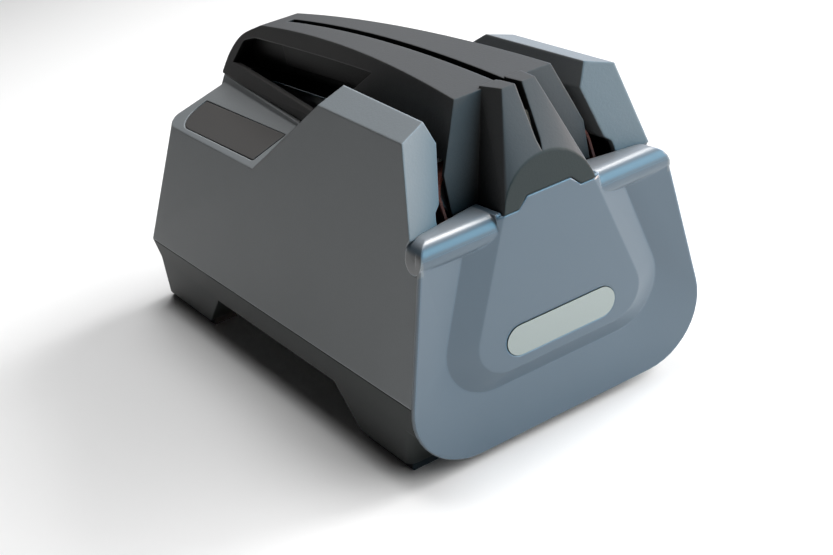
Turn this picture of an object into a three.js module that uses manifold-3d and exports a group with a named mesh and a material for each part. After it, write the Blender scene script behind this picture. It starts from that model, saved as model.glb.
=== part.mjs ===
import * as THREE from "three";
import { mergeVertices } from "three/addons/utils/BufferGeometryUtils.js";
import { ConvexGeometry } from "three/addons/geometries/ConvexGeometry.js";
import Module from "manifold-3d";

const wasm = await Module();
wasm.setup();

// Electric knife sharpener with a lift-off knife guide, an abrasive belt on four pulleys, a motor
// and a sprung start button. Millimetres, +Z up, front towards -Y, origin on the table under the
// middle of the body.

const degrees = THREE.MathUtils.degToRad;
const slope = (angle) => Math.tan(degrees(angle));

// Shared clearances
const seam = 0.3;
const running = 0.1;
const overrun = 6;
const sliver = 0.01;

// Housing
const wall = 2.5;
const seamHeight = 34;
const seamHalfWidth = 63;
const seamRear = 134.8;
const seamCornerRadius = 5.5;
const cornerGrowth = slope(8.3);
const wallDraft = slope(12.2);
const rearRakeAngle = degrees(26.6);
const rearRake = Math.tan(rearRakeAngle);
const rearClear = slope(40);
const shoulderHeight = 92.5;
const shoulderRise = slope(1);
const roofRise = slope(17.7);
const notchPlace = 2.2;
const humpRake = slope(27.2);
const humpFrontHeight = 121.8;
const humpTopRise = slope(2.8);
const humpFace = -122;
const humpFaceTurn = slope(13.5);
const humpFaceRake = slope(4.1);
const humpFaceHalfWidth = 43.6;
const shelfEdgeRadius = 7;
const deckHeight = 99;
const deckFront = -93.5;
const throatHeight = 118.9;
const throatLean = slope(14.1);
const mouthLean = slope(20.4);
const bayHalfWidth = 37.6;
const bayShoulderHeight = 97.3;

// Front cover
const coverFoot = -121.2;
const coverLean = slope(8);
const coverOverhang = 0.7;
const coverThickness = 7;
const rimThickness = 1.6;
const coverBottom = 3.7;
const coverTop = 93.3;
const coverBottomRadius = 25;
const coverTopRadius = 7;
const dishDepth = 3.4;
const padRise = 0.9;
const padTopHalfWidth = 18.8;
const padTop = 92.4;
const padWidestHeight = 46;
const padWidestHalfWidth = 35.4;
const padBottom = 33;
const padCornerRadius = 12;
const padTopRadius = 2;
const bandTopHalfWidth = 31;
const bandWidestHalfWidth = 46.5;
const bandBottom = 25.5;
const bandCornerRadius = 19;
const rollRadius = 5.5;
const rollProud = 0.4;
const tabHeight = 3.7;
const tabFootHalfWidth = 12.9;
const tabTopHalfWidth = 9;
const tabThickness = 3.4;
const badgeHeight = 43.2;
const badgeLength = 47;
const badgeWidth = 12;
const badgeThickness = 1.2;
const badgeProud = 0.35;

// Lower base
const baseDraft = slope(3.9);
const waistHeightRear = 25;
const waistRear = 131;
const footSplay = slope(19);
const bellyHeight = 21.5;
const footWidth = 14.6;
const footFront = -107.5;
const footFrontRake = slope(28.6);
const footCornerRadius = 4;
const frontFootBack = -69.5;
const rearFootFront = 81;
const footBackRake = slope(32);
const rearFootRake = slope(52.5);
const padThickness = 3;
const padInset = 1.6;
const padRear = 135.8;
const tongueHeight = 2.6;
const tongueThickness = 1.5;
const ventWidth = 3;
const ventLength = 26;
const ventPitch = 7;
const ventCount = 5;
const ventPlace = -6;

// Housing screws
const screwHalfSpacing = 42.2;
const screwPlaces = [-84, 105];
const screwRadius = 1.5;
const screwHeadRadius = 3;
const screwHeadHeight = 2;
const screwRecess = 5.5;
const screwBossRadius = 5.4;
const housingBossRadius = 4.2;
const housingBossTop = 72;
const screwReach = 12;
const ribThickness = 2;

// Knife guide
const guideFront = -118.6;
const guideRear = 100;
const spineFrontHalfWidth = 19.8;
const spineFrontHeight = 130.8;
const crownPlace = -18;
const crownHeight = 136.1;
const spineEndPlace = 59;
const spineEndHeight = 133.4;
const rearShoulderPlace = 80;
const rearShoulderHeight = 127.2;
const rearFlankPlace = 92.5;
const rearFlankHeight = 119;
const tailHeight = 109.6;
const flankLean = slope(21.5);
const flankTaper = slope(3.07);
const waistHeight = 107;
const guideSkirtHeight = 102.6;
const stripStart = 6;
const stripRise = slope(3.7);
const guideWall = 2.3;
const guideFrontWall = 1.5;
const flangeDrop = 92.7;
const beltWindowRear = -101.5;
const beltWindowTop = 111.5;
const liftGap = 0.5;
const windowFrontPlace = -55.5;
const windowTop = 130.2;
const windowRear = 88;
const stripHeight = 6.9;
const windowCornerPlace = 64;
const windowCornerDrop = 2.4;
const slitHalfWidth = 1.6;
const slitFloor = 108.8;
const slitNeckHeight = 113;
const slitRear = 46.5;
const bladeWallHalfWidth = 3.5;
const bladeWallStepHalfWidth = 4.6;
const bladeWallStep = 115;
const bladeWallBottom = 111;

// Nose of the guide
const noseTipTop = 131.7;
const noseTopHalfWidth = 8.6;
const noseTipHalfWidth = 6.7;
const noseTip = -128;
const archRadius = 19.4;
const archCentre = 88.9;
const archFront = -135.5;
const archThickness = 2.4;

// Honing rods in the nose
const rodRadius = 2.4;
const rodLength = 20;
const rodLean = degrees(18);
const rodCrossHeight = 111.5;
const rodPlaces = [-127.2, -121.4];

// Start button
const buttonFront = 8.5;
const buttonLength = 83;
const buttonWidth = 17;
const buttonEdgeInset = 3.6;
const buttonCornerRadius = 13;
const buttonProud = 0.3;
const buttonGap = 0.45;
const buttonLip = 1.1;
const buttonLipThickness = 1.2;
const buttonTravel = 2;
const stemWidth = 5;
const stemLength = 12;
const buttonSpringRadius = 4.6;
const buttonSpringWire = 0.4;
const buttonSpringTurns = 4;
const switchSize = new THREE.Vector3(13, 20, 6);
const switchKeyHeight = 1.2;
const switchKeyWidth = 4;
const boardSize = new THREE.Vector3(30, 72, 1.6);
const boardShift = 5;
const boardPostRadius = 2;
const boardPostInset = 4.5;

// Belt drive, laid out across (x) and up (u) in a plane that leans forwards going down
const beltLean = degrees(12);
const beltPlace = new THREE.Vector3(0, -110.7, 97);
const beltWidth = 12.7;
const beltThickness = 1;
const beltOuterHalfWidth = 32;
const beltBottom = -40;
const idlerRadius = 9.2;
const driveRadius = 11;
const pulleyWidth = 10.2;
const pulleyWeb = 3;
const pulleyRim = 1.8;
const hubRadius = 4;
const hubLength = 7.8;
const axleRadius = 2;
const axleHeadRadius = 3.2;
const axleHeadThickness = 0.6;
const armThickness = 2.6;
const armBack = 8.4;
const armWidth = 8;
const armLength = 16.5;
const torsionRadius = 4.2;
const torsionWire = 0.35;
const torsionPitch = 1.25;
const torsionTurns = 2;
const frameFront = 12.3;
const frameThickness = 3;
const frameTopHalfWidth = 25;
const frameTop = 4;
const frameShoulder = -14;
const frameHalfWidth = 47;
const frameBottom = -38;
const frameCorner = 4;
const legWidth = 7.5;
const legFront = -107;
const legRear = -98;
const legTop = 62;

// Motor
const shaftRadius = 2.5;
const motorRadius = 18;
const motorLength = 52;
const motorWall = 1.6;
const motorCapThickness = 4;
const magnetThickness = 3;
const magnetSpan = degrees(120);
const armatureRadius = 12.5;
const armatureSlots = 7;
const armatureSlotWidth = 2.4;
const armatureSlotDepth = 3.5;
const fanRadius = 15;
const fanHubRadius = 5;
const fanThickness = 6;
const fanBlades = 8;
const fanBladeThickness = 1.4;
const fanDisc = 1.2;
const cradleHalfWidth = 16.5;
const cradleFront = -88;
const cradleRear = -58;
const cradleTop = 54;
const strapThickness = 1.2;
const strapWidth = 9;
const strapPlace = 46;

// Power socket in the rear of the base
const socketHeight = 28.2;
const socketRadius = 4.2;
const socketLength = 12;
const socketBoreRadius = 2.9;
const socketPinRadius = 1;

// Finishes
function finish(color, roughness, metalness) {
  return new THREE.MeshStandardMaterial({ color, roughness, metalness });
}
const housingGrey = finish(0x5d6064, 0.55, 0);
const baseGrey = finish(0x3e4144, 0.6, 0);
const coverGrey = finish(0x64717c, 0.4, 0);
const guideBlack = finish(0x2e2f31, 0.6, 0);
const buttonBlack = finish(0x2c2c2d, 0.55, 0);
const badgeMint = finish(0xc9d6d1, 0.35, 0.2);
const rubberBlack = finish(0x151515, 0.9, 0);
const abrasiveBrown = finish(0x7a3a2c, 0.95, 0);
const steel = finish(0xb9bcc0, 0.35, 1);
const zinc = finish(0x8d9196, 0.45, 1);
const ceramic = finish(0xe8e4d8, 0.5, 0);
const nylon = finish(0xd9d7cf, 0.6, 0);
const boardGreen = finish(0x1f5b3a, 0.5, 0);
const magnetGrey = finish(0x4a4746, 0.7, 0.2);
const copper = finish(0xa8683e, 0.4, 0.9);

// A closed geometry becomes a solid that can be cut and joined
function solidOf(geometry) {
  const bare = geometry.clone();
  bare.deleteAttribute("normal");
  bare.deleteAttribute("uv");
  const welded = mergeVertices(bare, 1e-4);
  const corners = welded.index.array;
  const kept = [];
  for (let i = 0; i < corners.length; i += 3) {
    const [a, b, c] = [corners[i], corners[i + 1], corners[i + 2]];
    if (a !== b && b !== c && c !== a) {
      kept.push(a, b, c);
    }
  }
  const mesh = new wasm.Mesh({
    numProp: 3,
    vertProperties: Float32Array.from(welded.attributes.position.array),
    triVerts: Uint32Array.from(kept),
  });
  return new wasm.Manifold(mesh);
}

// A solid becomes a geometry again, with flat faces and no slivers
function geometryOf(solid) {
  const mesh = solid.simplify(sliver).getMesh();
  const geometry = new THREE.BufferGeometry();
  geometry.setAttribute("position", new THREE.BufferAttribute(mesh.vertProperties, mesh.numProp));
  geometry.setIndex(new THREE.BufferAttribute(mesh.triVerts, 1));
  const flat = geometry.toNonIndexed();
  flat.computeVertexNormals();
  return flat;
}

function unite(solids) {
  return solids.reduce((whole, next) => whole.add(next));
}

function cutAway(solid, cutters) {
  return cutters.reduce((rest, cutter) => rest.subtract(cutter), solid);
}

// A flat outline from points, each [a, b]
function outline(points) {
  return new THREE.Shape(points.map(([a, b]) => new THREE.Vector2(a, b)));
}

function mirrored(points) {
  const left = points.map(([a, b]) => [-a, b]).reverse();
  return [...points, ...left];
}

function extrude(shape, depth, curveSegments = 8) {
  return new THREE.ExtrudeGeometry(shape, { depth, bevelEnabled: false, curveSegments });
}

// Outlines in (y, z), (x, z) and (x, y) pushed along the third axis
function alongX(shape, from, to, curveSegments) {
  const turn = new THREE.Matrix4().set(0, 0, 1, from, 1, 0, 0, 0, 0, 1, 0, 0, 0, 0, 0, 1);
  return extrude(shape, to - from, curveSegments).applyMatrix4(turn);
}

function alongY(shape, from, to, curveSegments) {
  const geometry = extrude(shape, to - from, curveSegments);
  return geometry.rotateX(Math.PI / 2).translate(0, to, 0);
}

function alongZ(shape, from, to, curveSegments) {
  return extrude(shape, to - from, curveSegments).translate(0, 0, from);
}

// Moves every vertex of a geometry, so that straight walls lean, turn or taper
function warp(geometry, move) {
  const places = geometry.attributes.position;
  const point = new THREE.Vector3();
  for (let i = 0; i < places.count; i += 1) {
    point.fromBufferAttribute(places, i);
    move(point);
    places.setXYZ(i, point.x, point.y, point.z);
  }
  return geometry;
}

function boxBetween(low, high) {
  const size = new THREE.Vector3(high[0] - low[0], high[1] - low[1], high[2] - low[2]);
  const box = new THREE.BoxGeometry(size.x, size.y, size.z);
  return box.translate(low[0] + size.x / 2, low[1] + size.y / 2, low[2] + size.z / 2);
}

function cylinderZ(radius, from, to, sides = 24) {
  const geometry = new THREE.CylinderGeometry(radius, radius, to - from, sides);
  return geometry.rotateX(Math.PI / 2).translate(0, 0, (from + to) / 2);
}

// A cylinder along the belt drive's axis, which is its own y
function cylinderY(radius, from, to, sides = 24) {
  return new THREE.CylinderGeometry(radius, radius, to - from, sides).translate(0, (from + to) / 2, 0);
}

// A spring's wire as one unbroken tube
class Helix extends THREE.Curve {
  constructor(radius, pitch, turns) {
    super();
    this.radius = radius;
    this.pitch = pitch;
    this.turns = turns;
  }

  getPoint(share, target = new THREE.Vector3()) {
    const angle = share * this.turns * Math.PI * 2;
    const height = share * this.turns * this.pitch;
    return target.set(this.radius * Math.cos(angle), this.radius * Math.sin(angle), height);
  }
}

function springGeometry(radius, wire, pitch, turns) {
  const section = new THREE.Shape().absarc(0, 0, wire, 0, Math.PI * 2);
  return new THREE.ExtrudeGeometry(section, {
    steps: 10 * turns,
    curveSegments: 3,
    bevelEnabled: false,
    extrudePath: new Helix(radius, pitch, turns),
  });
}

const sharpener = new THREE.Group();
sharpener.name = "knife_sharpener";

function addPart(name, shape, material, parent = sharpener) {
  const geometry = shape.isBufferGeometry ? shape : geometryOf(shape);
  const mesh = new THREE.Mesh(geometry, material);
  mesh.name = name;
  parent.add(mesh);
  return mesh;
}

// The belt drive and the motor share one leaning group: x across, y back along the axles, z up
const drive = new THREE.Group();
drive.position.copy(beltPlace);
drive.rotation.x = -beltLean;
sharpener.add(drive);
drive.updateMatrixWorld(true);

function halfWidthAt(z) {
  return seamHalfWidth - wallDraft * (z - seamHeight);
}

function rimPlane(z) {
  return coverFoot - coverLean * z;
}

const shoulderHalfWidth = halfWidthAt(shoulderHeight);
const roofTop = crownHeight + overrun;

const cornerSteps = 6;

// A block's outline at one height: a straight front and two rounded rear corners
function planRing(half, front, rear, radius, z) {
  const points = [];
  for (const side of [-1, 1]) {
    points.push(new THREE.Vector3(side * half, front, z));
    for (let i = 0; i <= cornerSteps; i += 1) {
      const angle = ((Math.PI / 2) * i) / cornerSteps;
      const x = half - radius + radius * Math.cos(angle);
      points.push(new THREE.Vector3(side * x, rear - radius + radius * Math.sin(angle), z));
    }
  }
  return points;
}

// The housing's drafted walls as one block, rounder at the rear corners further up. A block that
// hollows another one starts ahead of it.
function housingBlock(inset, from, to) {
  const ahead = inset > 0 ? overrun : 0;
  const rings = [from, to].map((z) => {
    const rise = z - seamHeight;
    return planRing(
      halfWidthAt(z) - inset,
      rimPlane(z) + rimThickness + seam - ahead,
      seamRear - rearRake * rise - inset,
      Math.max(seamCornerRadius + cornerGrowth * rise - inset, seam),
      z,
    );
  });
  return new ConvexGeometry(rings.flat());
}

// Heights of the roof over the shoulder line, before it rises towards the middle
function shelfHeight(y) {
  return shoulderHeight + shoulderRise * (y - notchPlace);
}

const humpRear =
  (shoulderHeight - humpFrontHeight + humpRake * notchPlace + humpTopRise * humpFace)
  / (humpRake + humpTopRise);
const humpRearHeight = shoulderHeight + humpRake * (notchPlace - humpRear);

function roofPrism(drop) {
  const front = humpFace - 4 * overrun;
  const frontHeight = humpFrontHeight + humpTopRise * (front - humpFace);
  const bottom = 0;
  const edge = new THREE.Vector2();
  edge.y = shelfHeight(seamRear) - shelfEdgeRadius;
  const rakeReach = shelfEdgeRadius + (edge.y - seamHeight) * Math.sin(rearRakeAngle);
  edge.x = seamRear - rakeReach / Math.cos(rearRakeAngle);
  const edgeEndPlace = edge.x + shelfEdgeRadius * Math.cos(rearRakeAngle);
  const edgeEndHeight = edge.y + shelfEdgeRadius * Math.sin(rearRakeAngle);
  const profile = new THREE.Shape();
  profile.moveTo(front, bottom);
  profile.lineTo(edgeEndPlace + rearClear * (edgeEndHeight - bottom), bottom);
  profile.absarc(edge.x, edge.y, shelfEdgeRadius, rearRakeAngle, Math.PI / 2);
  profile.lineTo(notchPlace, shelfHeight(notchPlace));
  profile.lineTo(humpRear, humpRearHeight);
  profile.lineTo(front, frontHeight);
  profile.closePath();
  const half = seamHalfWidth + overrun;
  const side = warp(alongX(profile, -seam, half, 5), (point) => {
    const inwards = roofRise * (shoulderHalfWidth - point.x);
    point.y -= point.y > notchPlace + overrun ? rearRake * inwards : 0;
    point.z += inwards - drop;
  });
  const other = flipFaces(side.clone().scale(-1, 1, 1));
  return solidOf(side).add(solidOf(other));
}

// A mirrored geometry needs its triangles turned round
function flipFaces(geometry) {
  const places = geometry.attributes.position;
  const first = new THREE.Vector3();
  const last = new THREE.Vector3();
  for (let i = 0; i < places.count; i += 3) {
    first.fromBufferAttribute(places, i);
    last.fromBufferAttribute(places, i + 2);
    places.setXYZ(i, last.x, last.y, last.z);
    places.setXYZ(i + 2, first.x, first.y, first.z);
  }
  return geometry;
}

// Half-width of the guide's flank at a place
function flankHalfWidth(y, z) {
  return spineFrontHalfWidth + flankLean * (spineFrontHeight - z) - flankTaper * (y - guideFront);
}

const waistHalfWidth = flankHalfWidth(guideFront, waistHeight);
const throatHalfWidth = waistHalfWidth + liftGap;

function tapered(points, from, to) {
  return warp(alongY(outline(mirrored(points)), from, to), (point) => {
    point.x -= Math.sign(point.x) * flankTaper * (point.y - guideFront);
  });
}

// The channel between the humps, with the faces that steer the blade
function channel(grow, from, to) {
  const top = crownHeight + 2 * overrun;
  const mouthHalfWidth = throatHalfWidth + mouthLean * (top - throatHeight);
  const footHalfWidth = throatHalfWidth + throatLean * (throatHeight - deckHeight);
  return tapered(
    [
      [footHalfWidth + grow, deckHeight - grow],
      [throatHalfWidth + grow, throatHeight],
      [mouthHalfWidth + grow, top],
    ],
    from,
    to,
  );
}

// The bay below the channel, where the belt and its pulleys run
function beltBay() {
  const neckHalfWidth = throatHalfWidth + throatLean * (throatHeight - bayShoulderHeight) - wall / 2;
  const profile = outline(mirrored([
    [bayHalfWidth, seamHeight + overrun],
    [bayHalfWidth, bayShoulderHeight - wall],
    [bayHalfWidth - wall / 4, bayShoulderHeight],
    [neckHalfWidth, deckHeight + wall / 2],
  ]));
  return alongY(profile, humpFace - 2 * overrun, deckFront);
}

// Everything in front of the humps' turned faces, or of a plane a wall behind them
function beforeHumpFaces(depth, low) {
  const high = crownHeight + overrun;
  const deep = 4 * overrun;
  const far = seamHalfWidth + overrun;
  const outer = humpFace - humpFaceTurn * (far - humpFaceHalfWidth) + depth;
  const plan = outline([
    [-far, humpFace - deep],
    [far, humpFace - deep],
    [far, outer],
    [0, humpFace + humpFaceTurn * humpFaceHalfWidth + depth],
    [-far, outer],
  ]);
  return solidOf(warp(alongZ(plan, low, high), (point) => {
    point.y += point.y > humpFace - deep ? humpFaceRake * (point.z - humpFrontHeight) : 0;
  }));
}

function screwColumns(radius, from, to, sides = 20) {
  const columns = [];
  for (const side of [-1, 1]) {
    for (const place of screwPlaces) {
      const column = cylinderZ(radius, from, to, sides);
      columns.push(solidOf(column.translate(side * screwHalfSpacing, place, 0)));
    }
  }
  return columns;
}

// Webs that tie the screw columns to the side walls
function screwRibs(from, to) {
  const ribs = [];
  for (const side of [-1, 1]) {
    for (const place of screwPlaces) {
      const near = side * screwHalfSpacing;
      const far = side * seamHalfWidth;
      const low = [Math.min(near, far), place - ribThickness / 2, from];
      const high = [Math.max(near, far), place + ribThickness / 2, to];
      ribs.push(solidOf(boxBetween(low, high)));
    }
  }
  return ribs;
}

// The button lies in the left shoulder, in a frame of its own: x up the shoulder, y back, z out
function buttonFrame() {
  const across = new THREE.Vector3(1, 0, roofRise).normalize();
  const back = new THREE.Vector3(0, 1, shoulderRise).normalize();
  const out = new THREE.Vector3().crossVectors(across, back).normalize();
  const along = new THREE.Vector3().crossVectors(out, across);
  const middle = new THREE.Vector3();
  middle.y = buttonFront + buttonLength / 2;
  middle.z = shelfHeight(middle.y);
  middle.x = -shoulderHalfWidth;
  middle.addScaledVector(across, buttonEdgeInset + buttonWidth / 2);
  const frame = new THREE.Group();
  frame.position.copy(middle);
  frame.quaternion.setFromRotationMatrix(new THREE.Matrix4().makeBasis(across, along, out));
  frame.updateMatrixWorld(true);
  return frame;
}

function buttonOutline(grow) {
  const half = buttonWidth / 2 + grow;
  const end = buttonLength / 2 + grow;
  const large = buttonCornerRadius + grow;
  const small = seam * 2 + grow;
  const shape = new THREE.Shape();
  shape.moveTo(-half, small - end);
  shape.absarc(small - half, small - end, small, Math.PI, Math.PI * 1.5);
  shape.absarc(half - small, small - end, small, Math.PI * 1.5, Math.PI * 2);
  shape.absarc(half - small, end - small, small, 0, Math.PI / 2);
  shape.absarc(large - half, end - large, large, Math.PI / 2, Math.PI);
  shape.closePath();
  return shape;
}

const buttonPlace = buttonFrame();
const buttonDepth = wall + seam;
const stemTip = -buttonDepth - buttonLipThickness - stemLength;
const switchTop = stemTip - buttonTravel - seam - switchKeyHeight;
const boardTop = switchTop - switchSize.z - seam;
const boardPostPlaces = [-1, 1].map((end) => [
  boardShift + boardSize.x / 2 - boardPostInset,
  end * (boardSize.y / 2 - boardPostInset),
]);

// Posts that hang the circuit board from the underside of the shelf
function boardPosts() {
  return boardPostPlaces.map(([x, y]) => {
    const post = cylinderZ(boardPostRadius, boardTop + seam, -wall / 2, 16).translate(x, y, 0);
    return solidOf(post.applyMatrix4(buttonPlace.matrixWorld));
  });
}

// The seat that carries the guide's strip, a little above the shelf
function plinth() {
  const wedge = tapered(
    [
      [flankHalfWidth(guideFront, deckHeight - wall), deckHeight - wall],
      [flankHalfWidth(guideFront, crownHeight), crownHeight],
    ],
    stripStart,
    seamRear,
  );
  const profile = outline([
    [stripStart, deckHeight - wall],
    [seamRear, deckHeight - wall],
    [seamRear, stripFoot(seamRear) - seam],
    [stripStart, stripFoot(stripStart) - seam],
  ]);
  return solidOf(wedge).intersect(solidOf(alongX(profile, -seamHalfWidth, seamHalfWidth)));
}

// The pocket inside the guide, where fingers reach in to lift it
function fingerWell() {
  const wellWall = 3 * wall;
  return solidOf(tapered(
    [
      [flankHalfWidth(guideFront, deckHeight) - wellWall, deckHeight],
      [flankHalfWidth(guideFront, crownHeight) - wall, crownHeight],
    ],
    deckFront,
    guideRear - wellWall,
  ));
}

function buildHousing() {
  const bottom = seamHeight + seam / 2;
  const block = solidOf(housingBlock(0, bottom, roofTop));
  const outer = block.intersect(roofPrism(0));
  const core = solidOf(housingBlock(wall, bottom - overrun, roofTop)).intersect(roofPrism(wall));
  const hollow = cutAway(core, [
    solidOf(channel(wall, humpFace - overrun, stripStart + seam)),
    plinth(),
    beforeHumpFaces(wall, coverTop - 2 * wall),
  ]);
  const columns = unite([
    ...screwColumns(housingBossRadius, bottom, housingBossTop),
    ...screwRibs(bottom + tongueHeight + seam, housingBossTop),
  ]).intersect(outer);
  const buttonHole = alongZ(buttonOutline(buttonGap), -2 * wall, 2 * wall, 8)
    .applyMatrix4(buttonPlace.matrixWorld);
  const shell = outer.subtract(hollow).add(columns).add(plinth().intersect(block));
  return cutAway(shell, [
    solidOf(channel(0, humpFace - overrun, stripStart)),
    solidOf(beltBay()),
    beforeHumpFaces(0, coverTop - 2 * wall - seam),
    coverRoll(seam),
    coverRoom(),
    fingerWell(),
    guideEnvelope(seam, seam),
    solidOf(buttonHole),
    ...screwColumns(screwRadius + seam, bottom - seam, seamHeight + screwReach + 2 * seam, 16),
  ]).add(unite(boardPosts()));
}

// The guide's outer form: flanks that lean in and taper back, under a bowed spine
function guideEnvelope(grow, lift) {
  const top = crownHeight + overrun;
  const wedge = tapered(
    [
      [waistHalfWidth + grow, flangeDrop - overrun],
      [waistHalfWidth + grow, waistHeight],
      [flankHalfWidth(guideFront, top) + grow, top],
    ],
    guideFront - grow,
    guideRear + overrun,
  );
  const profile = spineProfile(-grow);
  profile.lineTo(guideRear + grow, stripFoot(guideRear) - lift);
  profile.lineTo(stripStart, guideSkirtHeight - lift);
  profile.lineTo(guideFront - grow, guideSkirtHeight - lift);
  profile.closePath();
  const half = waistHalfWidth + 2 * overrun;
  return solidOf(wedge).intersect(solidOf(alongX(profile, -half, half, 12)));
}

function stripFoot(y) {
  return guideSkirtHeight + stripRise * (y - stripStart);
}

// The spine in side view, from the front to the tail, set in by a wall where asked
function spineProfile(inset) {
  const profile = new THREE.Shape();
  profile.moveTo(guideFront + inset, spineFrontHeight - inset);
  profile.quadraticCurveTo(
    (guideFront + crownPlace) / 2,
    crownHeight - inset,
    crownPlace,
    crownHeight - inset,
  );
  profile.quadraticCurveTo(
    (crownPlace + spineEndPlace) / 2,
    crownHeight - inset,
    spineEndPlace - inset / 2,
    spineEndHeight - inset,
  );
  profile.splineThru([
    new THREE.Vector2(rearShoulderPlace - inset, rearShoulderHeight - inset),
    new THREE.Vector2(rearFlankPlace - inset, rearFlankHeight - inset),
    new THREE.Vector2(guideRear - inset, tailHeight - inset / 4),
  ]);
  return profile;
}

function guideHollow() {
  const top = crownHeight + overrun;
  const wedge = tapered(
    [
      [waistHalfWidth - guideWall, flangeDrop - 2 * overrun],
      [waistHalfWidth - guideWall, waistHeight],
      [flankHalfWidth(guideFront, top) - guideWall, top],
    ],
    guideFront + guideFrontWall,
    guideRear - guideWall,
  );
  const profile = spineProfile(guideWall);
  profile.lineTo(guideRear - guideWall, flangeDrop - overrun);
  profile.lineTo(guideFront + guideWall, flangeDrop - overrun);
  profile.closePath();
  const half = waistHalfWidth + overrun;
  const core = solidOf(wedge).intersect(solidOf(alongX(profile, -half, half, 12)));
  const behindFront = boxBetween(
    [guideWall - waistHalfWidth, guideFront + guideFrontWall, flangeDrop - overrun],
    [waistHalfWidth - guideWall, guideFront + 2 * guideWall, waistHeight],
  );
  return core.add(solidOf(behindFront));
}

// Finger window through both flanks, above the strip
function guideWindow() {
  const sill = (y) => stripFoot(y) + stripHeight;
  const frontFoot = windowFrontPlace + (windowTop - sill(stripStart)) / humpRake;
  const shape = new THREE.Shape();
  shape.moveTo(frontFoot, sill(frontFoot));
  shape.lineTo(windowRear, sill(windowRear));
  shape.splineThru([
    new THREE.Vector2(windowRear - stripHeight, sill(windowRear) + stripHeight),
    new THREE.Vector2((windowRear + windowCornerPlace) / 2, windowTop - 2 * windowCornerDrop),
    new THREE.Vector2(windowCornerPlace, windowTop - windowCornerDrop),
  ]);
  shape.quadraticCurveTo(crownPlace / 2, windowTop, windowFrontPlace, windowTop);
  shape.closePath();
  const half = waistHalfWidth + overrun;
  return solidOf(alongX(shape, -half, half, 6));
}

// Walls that hang either side of the slit, thinner below their step
function bladeWalls() {
  const section = outline(mirrored([
    [bladeWallHalfWidth, bladeWallBottom],
    [bladeWallHalfWidth, bladeWallStep],
    [bladeWallStepHalfWidth, bladeWallStep],
    [bladeWallStepHalfWidth, crownHeight],
  ]));
  const rear = slitRear + 2 * guideWall;
  const bars = solidOf(alongY(section, guideFront, rear));
  return bars.intersect(guideEnvelopeCore());
}

function guideEnvelopeCore() {
  const profile = spineProfile(guideWall / 2);
  profile.lineTo(guideRear, bladeWallBottom - overrun);
  profile.lineTo(guideFront, bladeWallBottom - overrun);
  profile.closePath();
  return solidOf(alongX(profile, -waistHalfWidth, waistHalfWidth, 12));
}

function slitCutter() {
  const high = crownHeight + overrun;
  const section = outline(mirrored([
    [slitHalfWidth / 2, slitNeckHeight],
    [slitHalfWidth, high],
  ]).concat([[0, slitFloor]]));
  const noseSlit = solidOf(alongY(section, archFront - overrun, guideFront + overrun));
  const spineSlit = boxBetween(
    [-slitHalfWidth, guideFront, bladeWallBottom - overrun],
    [slitHalfWidth, slitRear, high],
  );
  return noseSlit.add(solidOf(spineSlit));
}

// Front nose: a narrow top drawn down into the round arch plate
function noseBody() {
  const points = [];
  const bottom = padTop + seam;
  for (const side of [-1, 1]) {
    points.push(new THREE.Vector3(side * noseTopHalfWidth, guideFront + guideFrontWall, noseTipTop));
    points.push(new THREE.Vector3(side * noseTipHalfWidth, noseTip, noseTipTop));
    points.push(new THREE.Vector3(side * padTopHalfWidth, guideFront + guideFrontWall, bottom));
  }
  const start = Math.asin((bottom - archCentre) / archRadius);
  const steps = 16;
  for (let i = 0; i <= steps; i += 1) {
    const angle = start + ((Math.PI - 2 * start) * i) / steps;
    const x = archRadius * Math.cos(angle);
    const z = archCentre + archRadius * Math.sin(angle);
    points.push(new THREE.Vector3(x, archFront, z));
    points.push(new THREE.Vector3(x, archFront + archThickness, z));
  }
  return solidOf(new ConvexGeometry(points));
}

function tabOutline(grow) {
  return outline(tabPoints(grow));
}

function tabPoints(grow) {
  return mirrored([
    [tabFootHalfWidth + grow, padTop - wall],
    [tabFootHalfWidth + grow, padTop],
    [tabTopHalfWidth + grow, padTop + tabHeight + grow],
  ]);
}

// A honing rod crosses the slit, one leaning each way
function rodGeometry(index, grow) {
  const reach = rodLength / 2 + grow;
  const rod = cylinderZ(rodRadius + grow, -reach, reach, 20);
  return rod.rotateY(index === 0 ? rodLean : -rodLean).translate(0, rodPlaces[index], rodCrossHeight);
}

function buildGuide() {
  const body = guideEnvelope(0, 0);
  const flangeWedge = tapered(
    [
      [waistHalfWidth, flangeDrop],
      [waistHalfWidth, waistHeight],
      [flankHalfWidth(guideFront, spineFrontHeight), spineFrontHeight],
    ],
    guideFront,
    guideFront + guideFrontWall,
  );
  const beltWindow = boxBetween(
    [-waistHalfWidth - overrun, guideFront + guideFrontWall, flangeDrop - overrun],
    [waistHalfWidth + overrun, beltWindowRear, beltWindowTop],
  );
  const shell = cutAway(body.add(solidOf(flangeWedge)), [
    guideHollow(),
    solidOf(beltWindow),
    guideWindow(),
  ]);
  const tabCut = alongY(tabOutline(seam), archFront - overrun, archFront + tabThickness + wall / 2);
  return cutAway(shell.add(bladeWalls()).add(noseBody()), [
    slitCutter(),
    solidOf(tabCut),
    ...rodPlaces.map((place, i) => solidOf(rodGeometry(i, seam))),
  ]);
}

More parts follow.
